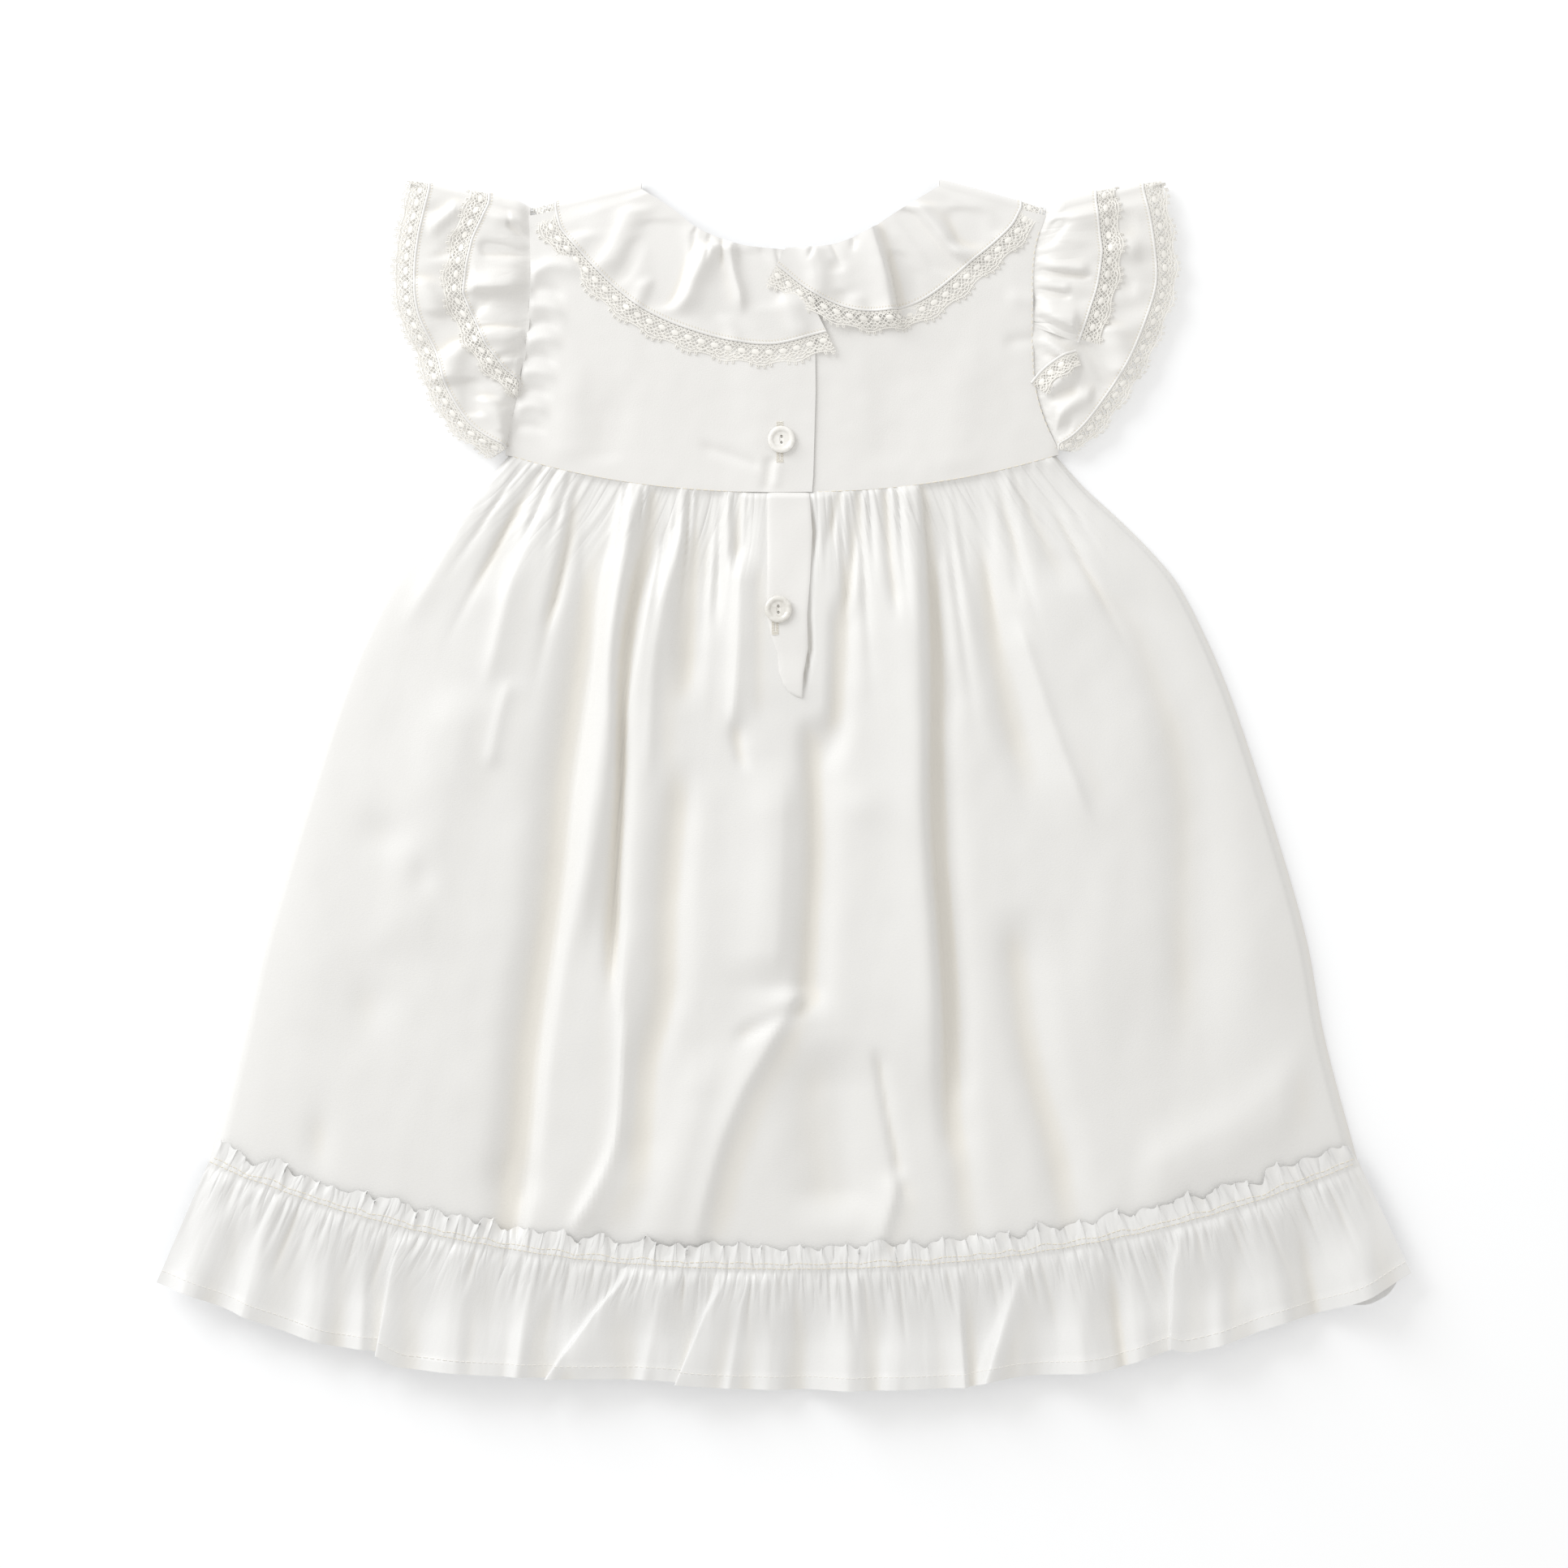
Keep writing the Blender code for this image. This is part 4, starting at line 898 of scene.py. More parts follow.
lace = {
    "netCell": 1.75, "netThread": 0.36, "cordRadius": 0.21, "ovalEvery": 5.4, "ovalLong": 1.7, "ovalWide": 1.1,
    "scallop": 14.0, "picotRadius": 0.24, "seamRadius": 0.5, "stitchEvery": 1.3,
    # the cords along it: share of the width, how far they swing, how often, and lift
    "cords": [(0.64, 0.75, 7, 0.05), (0.64, -0.75, 7, 0.05), (0.12, 0, 7, 0.05), (0.21, 0.35, 2.7, 0)],
}


def laceStrip(length, width):
    # a strip of lace made flat: x runs along it and y across it from its seam to its edge
    strip = bmesh.new()
    cell = lace["netCell"]
    columns, rows = max(int(length / cell), 8), max(int(width / cell), 3)
    bmesh.ops.create_grid(strip, x_segments=columns, y_segments=rows, size=1)
    for vert in strip.verts:
        vert.co = Vector(((vert.co.x + 1) / 2 * length, (vert.co.y + 1) / 2 * (width - 1.2), 0))
    straight = [edge for edge in strip.edges if not edge.is_boundary]
    bmesh.ops.poke(strip, faces=strip.faces)
    bmesh.ops.dissolve_edges(strip, edges=straight, use_verts=False)
    bmesh.ops.wireframe(
        strip, faces=strip.faces, thickness=lace["netThread"], offset=0.0, use_replace=True, use_boundary=True,
        use_even_offset=True,
    )

    def scallopEdge(x):
        # two bold bows to each repeat, with a crest between them
        turn = (x / lace["scallop"]) % 1.0
        return width - 1.4 * abs(math.sin(math.pi * turn)) ** 1.5

    steps = int(length / 0.7)
    xs = [length * step / steps for step in range(steps + 1)]
    cords = [[(x, scallopEdge(x), 0.05) for x in xs]]
    cords.append([(x, scallopEdge(x) - 1.0 - 0.35 * math.cos(2 * math.pi * x / 3.5), 0.05) for x in xs])
    for share, swing, wave, lift in lace["cords"]:
        cords.append([(x, width * share + swing * math.sin(2 * math.pi * x / wave), lift) for x in xs])
    join(strip, threads(cords, lace["cordRadius"]))
    picots = []
    for repeat in range(int(length / lace["scallop"]) + 1):
        for place in (-0.264, -0.088, 0.088, 0.264):
            x = (repeat + place) * lace["scallop"]
            if 0.5 < x < length - 0.5:
                edge = scallopEdge(x)
                corners = [(-0.35, 0), (-0.35, 1.2), (0.35, 1.2), (0.35, 0)]
                picots.append([(x + out, edge + up, 0.05) for out, up in corners])
    join(strip, threads(picots, lace["picotRadius"], 0))
    for index in range(int(length / lace["ovalEvery"])):
        oval = bmesh.new()
        bmesh.ops.create_uvsphere(oval, u_segments=12, v_segments=4, radius=1)
        for vert in oval.verts:
            vert.co = Vector((
                (index + 0.5) * lace["ovalEvery"] + vert.co.x * lace["ovalLong"],
                width * 0.4 + vert.co.y * lace["ovalWide"], 0.05 + vert.co.z * 0.2,
            ))
        join(strip, oval)
    return strip


def foldedPiece(name, form, columns, rows, flat, nodes, material):
    backColumns, turnColumns, frontColumns = columns
    total = backColumns + turnColumns + frontColumns

    def place(column, row):
        if column <= backColumns:
            at = column / backColumns
        elif column <= backColumns + turnColumns:
            at = 1 + (column - backColumns) / turnColumns
        else:
            at = 2 + (column - backColumns - turnColumns) / frontColumns
        return form.point(at, form.seam(at) * row / rows)

    return clothPiece(name, total, rows, place, (flat[0] * 1000, flat[1] * 1000), nodes, material=material)


def lacePieces(name, form, nodes, sag):
    # the lace along one edge, its rolled seam and the small stitches beside it
    length = form.measure()
    strip = laceStrip(length, laceWidth)

    def onCloth(x, y, lift):
        at, share = form.atLength(x), y / laceWidth
        drop = sag if at < 1 else 0.4
        return form.onLace(at, share, lift - 0.35 - drop * ease(0, 0.9, share))

    laid = newPiece(f"{name}_strip", lay(strip, onCloth), net, nodes)
    steps = int(length / 1.2)
    seam = threads([[(length * step / steps, 0.0, 0.25) for step in range(steps + 1)]], lace["seamRadius"], 2)
    seamPiece = newPiece(f"{name}_seam", lay(seam, onCloth), satin)
    xs = [0.5 + step * lace["stitchEvery"] for step in range(int(length / lace["stitchEvery"]))]
    stitches = [[(x, -0.75, 0.42), (x + 0.35, -1.35, 0.38)] for x in xs]
    stitchPiece = newPiece(f"{name}_stitches", lay(threads(stitches, 0.14, 0), onCloth), sewing)
    return [laid, seamPiece, stitchPiece]


# Collar

collars = {
    "left": {
        "flat": (0.26, 0.036),
        "neck": [(1, 205.6), (-16.6, 207.8), (-33.1, 214.1), (-42.8, 221.6), (-55, 229.4)],
        "edge": [(20, 166.8), (-5.6, 161.2), (-37.2, 166.8), (-64.7, 180.3), (-93, 209.8), (-96.4, 220.2)],
        "frontNeck": [(-1, 193), (-22, 197), (-40, 209), (-55, 229.4)],
        "frontEdge": [(-1, 153), (-25, 154), (-60, 165), (-88, 190), (-96.4, 220.2)],
        "folds": [
            Fold(-3.4, 6, 5, (-46.9, 218, -42.8, 194, -46.9, 182), (4, 6)),
            Fold(3.4, 4.5, 5, (-26.6, 209, -33.1, 198, -38, 188.5, -41, 179), (2, 9), 1.6),
            Fold(2.2, 3, 1.6, (-20.7, 209, -19.4, 198, -16.9, 188.5, -16, 180), (2, 8), 1.5),
            Fold(-2.6, 4, 5, (-13.9, 206, -9, 194, -7, 182), (2, 8)),
            Fold(1.2, 4, 4, (1, 190, 5, 178, 7, 170), (6, 6)),
            Fold(-0.9, 0.9, 0.9, (-34.5, 214, -35.2, 206, -36, 202), (1, 5), 1.5),
            Fold(-0.8, 0.8, 1, (-29, 211.5, -29.6, 204, -30, 200), (1, 5), 1.5),
            Fold(-0.9, 0.9, 0.9, (-24, 209.5, -24, 202, -23.5, 197), (1, 6), 1.5),
            Fold(-0.8, 0.8, 0.8, (-9, 206.5, -8, 200), (1, 4), 1.5),
            Fold(-0.7, 0.8, 0.8, (-3, 206, -1.5, 199), (1, 4), 1.5),
            Fold(1.3, 4, 5, (-57, 224, -64, 208, -73, 194), (4, 8)),
            Fold(-1, 3, 3, (-55, 212, -60, 200, -66, 190), (5, 6)),
            Fold(1, 5, 5, (-76, 214, -84, 203), (4, 4)),
            Fold(0.9, 3, 3, (-52, 196, -56, 186, -60, 180), (4, 4)),
            Fold(0.8, 3, 3, (-24, 182, -20, 174, -18, 168), (4, 3)),
        ],
    },
    "right": {
        "flat": (0.25, 0.034),
        "neck": [(0.6, 206.3), (19.1, 207.8), (32.2, 213.1), (42.5, 220), (60, 230.6)],
        "edge": [
            (-6.9, 192.5), (12.2, 180.3), (33, 174.2), (56.3, 178.8), (80.9, 198.1), (95, 211.6),
            (99.6, 220.2),
        ],
        "frontNeck": [(1, 193), (22, 197), (42, 209), (60, 230.6)],
        "frontEdge": [(1, 153), (25, 154), (60, 165), (89, 190), (99.6, 220.2)],
        "folds": [
            Fold(4.6, 9, 2, (33, 217, 37, 203.6, 40.5, 192.6, 42.5, 181, 43, 174), (3, 6), 1.4, -0.35),
            Fold(-3.4, 1.8, 4.5, (41, 206, 43.5, 191, 45, 178), (5, 5), 1.8),
            Fold(-0.9, 1, 1.4, (17.8, 208.5, 20, 204, 21.9, 200), (1, 3), 1.5),
            Fold(-3.6, 3.6, 2.6, (45.5, 222, 53.5, 212, 61.8, 201, 68.7, 195), (3, 5), 1.5),
            Fold(2.4, 3, 5, (50, 225, 58, 215, 67, 204.5, 74, 199), (3, 6), 1.6),
            Fold(-2.4, 5, 6, (68, 223, 70, 205), (5, 5)),
            Fold(-1, 4, 4, (48, 200, 46, 186), (5, 5)),
            Fold(-0.9, 2.5, 2.5, (20.5, 203, 20.5, 196), (3, 3)),
            Fold(-0.8, 2.5, 2.5, (22, 191, 22, 183), (3, 3)),
            Fold(1.4, 4, 4, (10, 208, 13, 196, 12, 184), (2, 6)),
            Fold(-0.9, 1.2, 1.2, (27, 211, 26, 204), (1, 4), 1.5),
            Fold(-0.8, 1, 1, (11, 207, 9, 201), (1, 4), 1.5),
            Fold(0.8, 3, 3, (28, 190, 30, 178), (4, 4)),
            Fold(0.9, 4, 4, (84, 214, 88, 204), (4, 4)),
        ],
    },
}


def collarStack(name, x):
    # what a half of the collar lies on, over the back bodice's inner face
    if name == "left":
        return wall + ply * ease(bodice["lapStart"], bodice["lapEnd"], x)
    return wall + 2.2 * ease(36, 20, x)


def makeCollar(name):
    side = collars[name]
    back, front = fan(side["neck"], side["edge"]), fan(side["frontNeck"], side["frontEdge"])

    def top(s, t):
        place = back(s, t)
        folds = foldsAt(side["folds"], place.x, place.y)[0] + 0.35 * ripple(place.x, place.y, 13, 2.0)
        folds += 0.12 * ripple(place.x, place.y, 5, 4.0) + 0.6
        height = bodiceUnder(place.x, place.y) + collarStack(name, place.x) + ply
        folds *= 1.3
        height -= 0.8 * ease(0.4, 0.78, t)
        return height + 0.5 * (folds + math.hypot(folds, 0.8)) * ease(1.0, 0.94, s) - 0.15 * math.exp(-t * 35)

    form = Folded(back, front, top, 0.0, 0.0)
    piece = foldedPiece(f"collar_{name}_cloth", form, (150, 8, 50), 26, side["flat"], [f"collar_{name}"], satin)
    trims = lacePieces(f"collar_{name}_lace", form, [f"collar_{name}_lace"], 0.35)


# Sleeves

sleeves = {
    "left": {
        "armhole": bodice["leftArmhole"],
        "edge": [
            (-113, 125.4), (-123.8, 132.2), (-130, 137.8), (-138.4, 151.9), (-142.5, 165.9),
            (-149.1, 180.3), (-150.9, 192.8), (-149.7, 210.3), (-145, 231.6),
        ],
        "reach": [
            (0.22, 0.10), (0.28, 0.22), (0.35, 0.40), (0.45, 0.55), (0.55, 0.585), (0.65, 0.65), (0.75, 0.63),
            (0.85, 0.605), (1, 0.51),
        ],
        "upperStart": 0.22, "upperFlat": (0.17, 0.022), "slant": 0.0,
        "folds": [
            Fold(-2, 3, 3, (-124.2, 231, -130, 224.5, -135, 219.4), (2, 3)),
            Fold(1.5, 3, 3, (-124, 225, -131, 218, -138, 212), (2, 4)),
            Fold(-1.5, 3.5, 3.5, (-122, 214, -128, 206, -134.2, 201), (3, 4)),
            Fold(1.6, 4, 4, (-141, 196, -136, 187, -131, 179), (4, 4)),
            Fold(-3.2, 6, 3.5, (-115, 190, -118.3, 186, -127, 176, -134.2, 164.4), (3, 4), 1.6),
            Fold(2.2, 5, 5, (-123, 172, -128.3, 162, -131, 153), (5, 4)),
            Fold(-1.6, 3, 3, (-121.7, 157, -120.5, 149, -119.2, 141), (3, 3)),
            Fold(1.6, 4, 4, (-116, 150, -109, 141, -104, 134), (3, 3)),
            Fold(-1, 1.6, 1.6, (-103, 150, -108, 144), (1, 3), 1.5),
        ],
        "upperFolds": [
            Fold(-1.2, 2.5, 2.5, (-105.8, 227, -105.8, 220), (2, 2)),
            Fold(1.1, 1.8, 1.8, (-106, 220, -101, 215.5, -97.5, 212), (1, 2), 1.6),
            Fold(-0.9, 1.4, 1.4, (-107, 216, -102, 212, -98, 208.5), (1, 2)),
            Fold(-1.5, 2.5, 2.5, (-118, 206, -107, 205, -96.7, 203), (4, 1)),
            Fold(2.4, 2.2, 6, (-122, 191.5, -110, 191.5, -97.5, 192.5), (3, 1), 1.5),
            Fold(-1.2, 5, 5, (-122, 182, -98, 182), (4, 1), 2.5),
            Fold(-0.9, 1, 1, (-121, 175.5, -110, 176.5, -99, 176), (3, 1), 1.5),
            Fold(1.4, 3, 3, (-121, 171, -110, 172.5, -100, 172.5), (4, 1)),
            Fold(-1, 1.5, 1.5, (-112, 164, -100, 166), (3, 1)),
        ],
    },
    "right": {
        "armhole": bodice["rightArmhole"],
        "edge": [
            (111.5, 128), (119.7, 133.1), (128.4, 143.4), (140.9, 162.8), (149.1, 183.1), (151.9, 195.6),
            (150, 216), (146.6, 231.6),
        ],
        "reach": [(0.44, 0.54), (0.6, 0.57), (0.8, 0.63), (1, 0.60)],
        "upperStart": 0.44, "upperFlat": (0.15, 0.022), "slant": 8.0,
        "folds": [
            Fold(1.8, 5, 5, (124, 178, 130, 166, 132, 156), (4, 4)),
            Fold(-1.8, 2.4, 3, (114, 171, 120, 164, 126, 152), (3, 3)),
            Fold(1.8, 2.6, 2, (96, 171, 101, 170, 107, 166, 113, 162), (2, 3), 1.6),
            Fold(-1.6, 1.6, 1.6, (97, 166.5, 103, 165.5, 108, 162), (2, 3), 1.6),
            Fold(1.6, 3.5, 2, (99, 150, 106, 156, 114, 160), (2, 3), 1.6),
            Fold(-1.6, 2, 2, (98, 145, 106, 150, 114, 153), (2, 3)),
            Fold(1.4, 3, 3, (104, 140, 112, 147, 120, 151), (2, 3)),
            Fold(-1.2, 2, 2, (104, 134, 112, 139), (2, 3)),
            Fold(-1.4, 3, 3, (124, 196, 136, 190), (3, 3)),
            Fold(1.3, 4, 4, (124, 208, 138, 205), (3, 3)),
            Fold(-1.2, 3, 3, (124, 220, 136, 216), (3, 3)),
        ],
        "upperFolds": [
            Fold(-1.5, 3, 3, (98, 206.5, 103, 212, 107.7, 218.7), (1, 3)),
            Fold(1, 2.6, 2.6, (97, 212, 103, 219, 107, 225), (1, 3)),
            Fold(1.1, 1.3, 2.6, (96.7, 200.4, 104.2, 198.9, 118.3, 197.4), (1, 4)),
            Fold(-1.6, 1.2, 1.5, (96.7, 198.1, 104.2, 196.5, 119.3, 195.2), (1, 5), 1.5),
            Fold(1, 1.3, 2.2, (96.3, 192.9, 105, 190.9, 111, 190), (1, 3)),
            Fold(-1.8, 1.2, 1.5, (96.3, 190.6, 105, 188.6, 111, 187.7), (1, 4), 1.5),
            Fold(2, 1.6, 4, (95.8, 184.5, 101.7, 180.7, 108, 177.6, 114, 175.6), (1, 3), 1.8),
            Fold(-2.6, 2.6, 1.2, (95.8, 180.6, 101.7, 176.4, 107.5, 173.2, 114.3, 171.4), (1, 2), 1.6),
            Fold(1.4, 2, 2, (95, 167, 99, 166.6, 103, 165), (1, 2)),
            Fold(-1, 1.4, 1.4, (96, 160, 103, 158, 108, 157), (1, 3), 1.5),
            Fold(1.2, 3, 3, (97, 152, 106, 148), (1, 3)),
        ],
    },
}
sleeveRest = 4.6  # how high the lower tier lies, and how far the upper one lies above it
tierStep = 1.4


def makeSleeve(name):
    side = sleeves[name]
    lowerPlace = fan(side["armhole"], side["edge"])

    def lowerTop(s, t):
        place = lowerPlace(s, t)
        folds = 1.2 + 1.5 * foldsAt(side["folds"], place.x, place.y)[0] + 1.3 * ripple(place.x * 0.5, place.y, 8, 3.0)
        folds = 0.5 * (folds + math.hypot(folds, 1.0)) * mix(0.3, 1.0, ease(0, 0.3, t)) * ease(1.0, 0.94, s)
        sewn = bodiceUnder(place.x, place.y) + wall - 0.55
        return mix(sleeveRest + wall + folds, sewn, math.exp(-((t * 50 / 5.0) ** 2)))

    def upperPlace(s, t):
        slant = side["slant"] * max(1 - t, 0) ** 1.3 * ease(side["upperStart"] + 0.12, side["upperStart"], s)
        return lowerPlace(s, t * along(side["reach"], s)) + Vector((0, slant))

    def upperTop(s, t):
        place = upperPlace(s, t)
        own = 0.5 + 1.4 * foldsAt(side["upperFolds"], place.x, place.y)[0]
        own += 0.8 * ripple(place.x * 0.5, place.y, 6, 5.0)
        under = lowerTop(s, t * along(side["reach"], s))
        above = max(max(under, sleeveRest + wall) + tierStep + own * ease(1.0, 0.94, s) - under, 0.7)
        above *= mix(0.35, 1.0, ease(0, 0.03, s - side["upperStart"]))
        return mix(under + above, under + 0.15, math.exp(-((t * 28 / 4.0) ** 2)))

    tiers = [
        ("lower", Folded(lowerPlace, lowerPlace, lowerTop, 2.0, 0.0), (0.23, 0.040), 2.0),
        ("upper", Folded(upperPlace, upperPlace, upperTop, 0.0, side["upperStart"]), side["upperFlat"], 0.9),
    ]
    for tier, form, flat, sag in tiers:
        node = f"sleeve_{name}_{tier}"
        piece = foldedPiece(f"{node}_cloth", form, (150, 8, 50), 24, flat, [node], ruffleSatin)
        trims = lacePieces(f"{node}_lace", form, [f"{node}_lace"], sag)
    return lowerPlace, lowerTop


def makeTurnedLace(lowerPlace, lowerTop):
    # the end of the right upper tier's lace, which turns under and comes out across the lower tier
    seam = Curve([(95.4, 154.6), (98.8, 158.8), (102.5, 162.0), (107.5, 165.2), (112.5, 166.8)])
    width = 7.0
    spots = [(s / 60, t / 24) for s in range(4, 34) for t in range(25)]
    heights = [(lowerPlace(*spot), lowerTop(*spot)) for spot in spots]

    def clothHeight(x, y):
        total = weight = 0.0
        for place, height in heights:
            far = (place.x - x) ** 2 + (place.y - y) ** 2
            if far < 16:
                near = math.exp(-far / 4)
                total += height * near
                weight += near
        return total / weight if weight else sleeveRest + wall

    def onTier(x, y, lift):
        here, ahead = seam.at(x / seam.length), seam.at(min(x / seam.length + 0.02, 1.0))
        behind = seam.at(max(x / seam.length - 0.02, 0.0))
        way = (ahead - behind).normalized()
        place = here + Vector((way.y, -way.x)) * y
        return Vector((place.x, place.y, clothHeight(place.x, place.y) + 0.9 + lift))

    newPiece("sleeve_right_upper_lace_turned", lay(laceStrip(seam.length, width), onTier), net)
    line = [(seam.length * step / 24, 0.0, 0.2) for step in range(25)]
    rolled = threads([line], lace["seamRadius"], 2)
    newPiece("sleeve_right_upper_seam_turned", lay(rolled, onTier), satin)


# Placket

placket = {
    "foot": 33.0, "underlapRight": 9.0, "columns": 26, "rows": 150, "underColumns": 12, "underRows": 60,
    # the left edge of the band: y and x
    "left": [
        (33, 6.6), (33.8, 4.4), (35.5, 1.9), (38.5, -0.3), (43, -1.9), (50, -2.4), (57, -4.8), (63, -6.2),
        (70, -6.4),
    ],
}


def bandTop(x, y):
    return max(skirtTop(x + off, y, 0, waistY(0) - y)[0] for off in (-3, 0, 3)) + ply


def makePlacket():
    top = waistY(0) - gap

    def overlap(column, row):
        y = mix(top, placket["foot"], row / placket["rows"])
        left, right = along(placket["left"], y), along(lapRows, y)
        share = column / placket["columns"]
        x = mix(left, right, share)
        height = bandTop(x, y) - 0.5 * math.exp(-(x - left) / 0.8) - 0.3 * math.exp(-(right - x) / 0.5)
        soft = 0.35 * ripple(x, y, 12, 4.4) + 0.5 * math.sin(y / 5.0) * ease(60, 40, y) * share
        return Vector((x, y, height + soft * ease(0, 1, x - left) - 0.4 * math.exp(-(top - y) / 0.9)))

    def underlap(column, row):
        x = mix(bodice["bandLeft"], placket["underlapRight"], column / placket["underColumns"])
        y = mix(top, placket["foot"], row / placket["underRows"])
        return Vector((x, y, layer + 0.9 + 0.15 * ripple(x, y, 8, 2.2)))

    over = clothPiece(
        "placket_overlap_cloth", placket["columns"], placket["rows"], overlap, (16, 80), ["placket_overlap"],
        thickness=0.5,
    )
    under = clothPiece(
        "placket_underlap_cloth", placket["underColumns"], placket["underRows"], underlap, (16, 80),
        ["placket_underlap"],
    )


# Sewing that lies on the cloth


# how many stitches there are, and how far the hem's stitches stand from its edge
stitched = {"hem": 236, "fromHem": 5.0, "seam": 231, "waist": 80, "arm": 32}


def makeSewing():
    hemStitches = []
    for step in range(stitched["hem"]):
        line = []
        for part in (0.0, 0.3, 0.62):
            at = (step + 0.15) / stitched["hem"] + part / stitched["hem"]
            seam, hem, _ = flounceRay(at)
            line.append(flouncePoint(at, 1 - stitched["fromHem"] / (hem - seam).length, 0.12) * mm)
        hemStitches.append(line)
    # the hem's stitches take the lace's net material, so they carry its painted glow too
    newPiece("hem_stitches", threads(hemStitches, 0.15 * mm, 0), net)
    seamStitches = []
    for row, offset in ((-0.08, 0.0), (-0.29, 0.5)):
        for step in range(stitched["seam"] - 1):
            share = (step + 0.2 + offset) / stitched["seam"]
            spots = [(share + part / stitched["seam"], row + off) for part, off in ((0, 0), (0.33, 0.012), (0.66, 0))]
            seamStitches.append([flouncePoint(*spot, 0.08) * mm for spot in spots])
    newPiece("flounce_stitches", threads(seamStitches, 0.17 * mm, 0), sewing)

    def waistStitch(x):
        return Vector((x, waistY(x) - 0.25, bodiceUnder(x, waistY(x)) + wall - 0.12)) * mm

    def armStitch(y):
        x = rightArmhole(y) - 0.5
        return Vector((x, y, bodiceTop(x, y, False) + 0.05)) * mm

    xs = [mix(-104.5, 104.0, (step + 0.1) / stitched["waist"]) for step in range(stitched["waist"])]
    joins = [[waistStitch(x + part) for part in (0, 0.8, 1.7)] for x in xs if not -8.5 < x < 11.5]
    for step in range(stitched["arm"]):
        joins.append([armStitch(mix(136.0, 214.0, step / stitched["arm"]) + part) for part in (0, 0.6, 1.2)])
    newPiece("seam_stitches", threads(joins, 0.17 * mm, 0), sewing)


# Buttons

button = {
    "radius": 5.2, "thickness": 1.8, "holeRadius": 0.52, "holeOffset": 1.15, "threadTop": 1.25,
    "upper": (-1.0, 132.8), "lower": (-2.2, 67.2),
    # the buttonholes: x, foot and top
    "upperHole": (-1.6, 124.0, 139.5), "lowerHole": (-3.4, 57.5, 71.0),
}


def buttonProfile():
    # radius and height from the middle of the top over the rim to the middle of the underside
    r, h = button["radius"], button["thickness"]
    return [
        (0, h * 0.62), (r * 0.52, h * 0.62), (r * 0.60, h * 0.66), (r * 0.66, h * 0.86), (r * 0.72, h * 0.96),
        (r * 0.80, h * 1.0), (r * 0.90, h * 0.97), (r * 0.97, h * 0.80), (r, h * 0.55), (r * 0.96, h * 0.25),
        (r * 0.85, h * 0.05), (r * 0.7, 0.0), (0.0, 0.0),
    ]


def turned(profile, steps):
    mesh = bmesh.new()
    verts = [mesh.verts.new((radius, 0, height)) for radius, height in profile]
    edges = [mesh.edges.new(pair) for pair in zip(verts, verts[1:])]
    bmesh.ops.spin(
        mesh, geom=verts + edges, cent=(0, 0, 0), axis=(0, 0, 1), angle=2 * math.pi, steps=steps, use_merge=True,
    )
    bmesh.ops.remove_doubles(mesh, verts=mesh.verts, dist=1e-5)
    bmesh.ops.recalc_face_normals(mesh, faces=mesh.faces)
    return mesh


def makeButton(name, x, y, under, material):
    body = turned(buttonProfile(), 64)
    dish = turned([(0.0, 0.0), (1.15, 0.16), (1.6, 0.5), (0.0, 0.6)], 32)
    for vert in dish.verts:  # a shallow eye around the two holes
        vert.co = Vector((vert.co.x * 0.72, vert.co.y * 1.55, vert.co.z + button["thickness"] * 0.5))
    cutters = [dish]
    for side in (-1, 1):
        hole = turned([(0.0, -1.0), (button["holeRadius"], -1.0), (button["holeRadius"], 4.0), (0.0, 4.0)], 16)
        bmesh.ops.translate(hole, verts=hole.verts, vec=(0, side * button["holeOffset"], 0))
        cutters.append(hole)
    for part in [body] + cutters:
        bmesh.ops.scale(part, verts=part.verts, vec=(mm, mm, mm))
        bmesh.ops.translate(part, verts=part.verts, vec=(x * mm, y * mm, under * mm))
    piece = newPiece(name + "_pearl", body, material, [name])
    tools = []
    for part in cutters:
        tools.append(placed("cutter", finished(part, "cutter")))
        cut = piece.modifiers.new("cut", "BOOLEAN")
        cut.operation = "DIFFERENCE"
        cut.object = tools[-1]
    done = evaluated(piece)
    piece.modifiers.clear()
    piece.data = done
    piece.data.set_sharp_from_angle(angle=math.radians(40))
    for tool in tools:
        bpy.data.objects.remove(tool)
    lines = []  # the shank of thread that shows in the holes
    for shift in (-0.22, 0.0, 0.22):
        for side in (-1, 1):
            spot = (x + shift) * mm, (y + side * button["holeOffset"]) * mm
            lines.append([(*spot, (under + high) * mm) for high in (0.2, button["threadTop"])])
    newPiece(name + "_thread", threads(lines, 0.24 * mm, 0), paleSewing)


def makeButtonhole(name, x, y0, y1, height):
    # close stitches across both sides and both ends of the slit
    lines = []
    steps = int((y1 - y0) / 0.45)
    for step in range(steps + 1):
        y = mix(y0, y1, step / steps)
        atEnd = min(y - y0, y1 - y) < 1.3
        for side in (-1, 1):
            inner = 0.0 if atEnd else 0.25
            z = height(x, y) + 0.04
            lines.append([
                ((x + side * inner) * mm, y * mm, z * mm),
                ((x + side * 1.3) * mm, (y + 0.18) * mm, (z - 0.02) * mm),
            ])
    newPiece(name, threads(lines, 0.22 * mm, 0), paleSewing)


def makeButtons():
    makeButton("button_upper", *button["upper"], bodiceTop(*button["upper"], True) + gap, pearl)
    x, y = button["lower"]
    makeButton("button_lower", x, y, max(bandTop(x + off, y) for off in (-4, 0, 4)) + gap, smokyPearl)
    makeButtonhole("buttonhole_upper", *button["upperHole"], lambda x, y: bodiceTop(x, y, True))
    makeButtonhole("buttonhole_lower", *button["lowerHole"], bandTop)


# Making it all

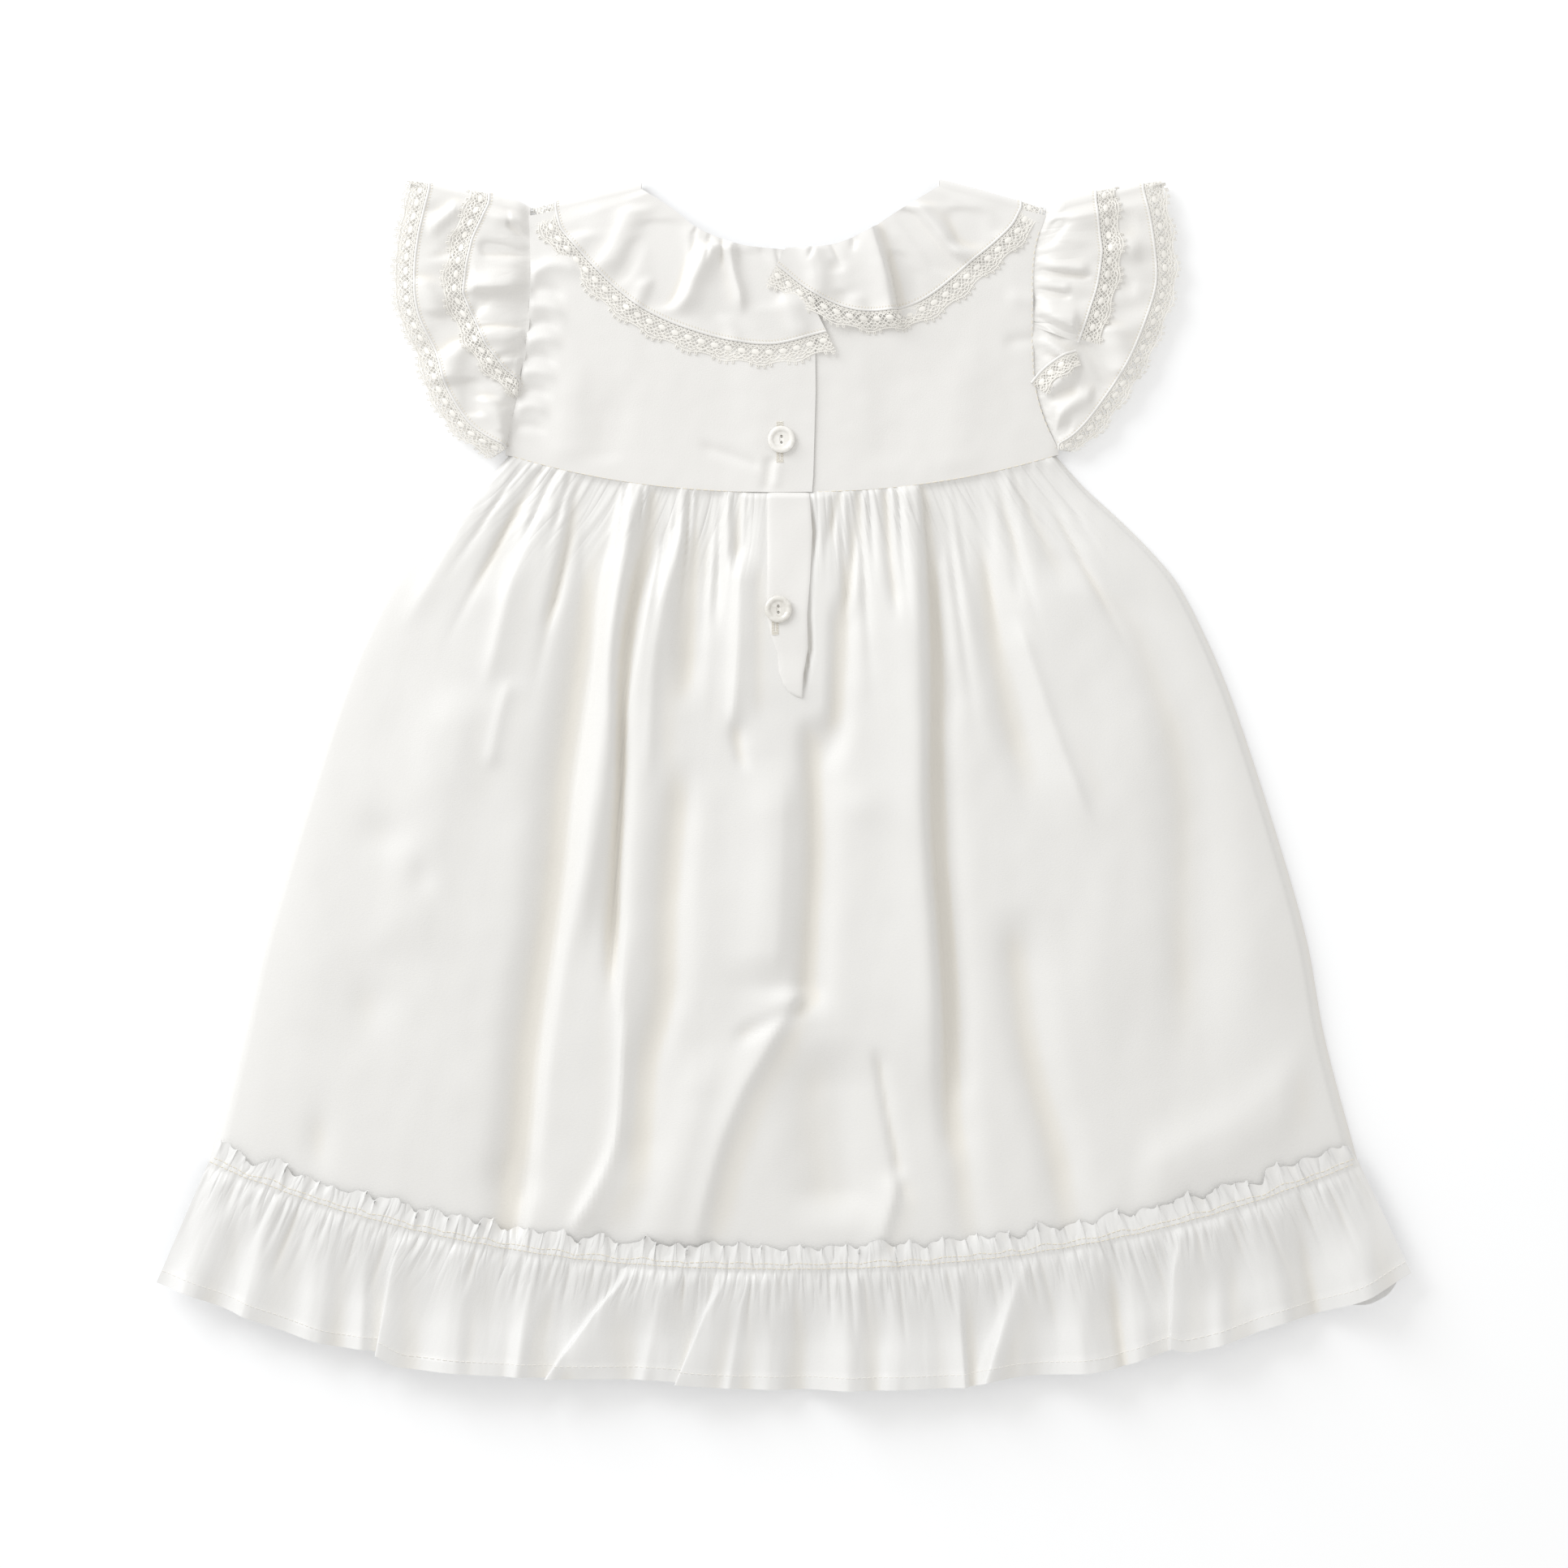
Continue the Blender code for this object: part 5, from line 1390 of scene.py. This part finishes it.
makeFrontSkirt()
makeBackSkirt()
print("skirt made", trianglesMade)
makeFrontFlounce()
makeBackFlounce()
print("flounce made", trianglesMade)
makeBodice()
makePlacket()
print("bodice and placket made", trianglesMade)
makeCollar("left")
makeCollar("right")
print("collar made", trianglesMade)
makeSleeve("left")
makeTurnedLace(*makeSleeve("right"))
print("sleeves made", trianglesMade)
makeSewing()
makeButtons()
print("sewing and buttons made", trianglesMade)


# Floor, light and camera

studio = {
    "floor": 8.0, "view": 0.60375, "cameraHeight": 2.4, "focus": 0.008, "sensor": 36,
    "keyPower": 17.5, "keySize": 1.1, "keyFrom": (-1.10, 1.10, 0.76), "keyColor": (0.975, 0.99, 1.0),
    "fill": 0.785, "fillColor": (1.0, 0.988, 0.962, 1), "floorColor": (0.87, 0.88, 0.90, 1), "floorGlow": 0.185,
}


def makeFloor():
    mesh = bmesh.new()
    bmesh.ops.create_grid(mesh, x_segments=1, y_segments=1, size=studio["floor"] / 2)
    bmesh.ops.translate(mesh, verts=mesh.verts, vec=(0, 0, -0.0002))
    floor = placed("floor", finished(mesh, "floor"))
    material, _, shader = newMaterial("whiteFloor")
    shader["Base Color"].default_value = studio["floorColor"]
    shader["Roughness"].default_value = 0.9
    shader["Specular IOR Level"].default_value = 0.0
    shader["Emission Color"].default_value = (1, 1, 1, 1)
    shader["Emission Strength"].default_value = studio["floorGlow"]
    floor.data.materials.append(material)


def makeLight():
    lamp = bpy.data.lights.new("key", "AREA")
    lamp.energy = studio["keyPower"]
    lamp.size = studio["keySize"]
    lamp.color = studio["keyColor"]
    key = placed("key", lamp)
    key.location = studio["keyFrom"]
    key.rotation_euler = (-Vector(studio["keyFrom"])).to_track_quat("-Z", "Y").to_euler()
    world = bpy.data.worlds.new("studio")
    world.use_nodes = True
    sky = world.node_tree.nodes["Background"].inputs
    sky["Color"].default_value, sky["Strength"].default_value = studio["fillColor"], studio["fill"]
    bpy.context.scene.world = world


def makeCamera():
    lens = bpy.data.cameras.new("camera")
    lens.sensor_width = studio["sensor"]
    lens.sensor_fit = "HORIZONTAL"
    lens.lens = studio["sensor"] * (studio["cameraHeight"] - studio["focus"]) / studio["view"]
    lens.dof.use_dof = False
    lens.clip_end = 20
    camera = placed("camera", lens)
    camera.location = (0, 0, studio["cameraHeight"])
    bpy.context.scene.camera = camera


makeFloor()
makeLight()
makeCamera()
bpy.context.scene.view_settings.view_transform = "Standard"
print("studio made")
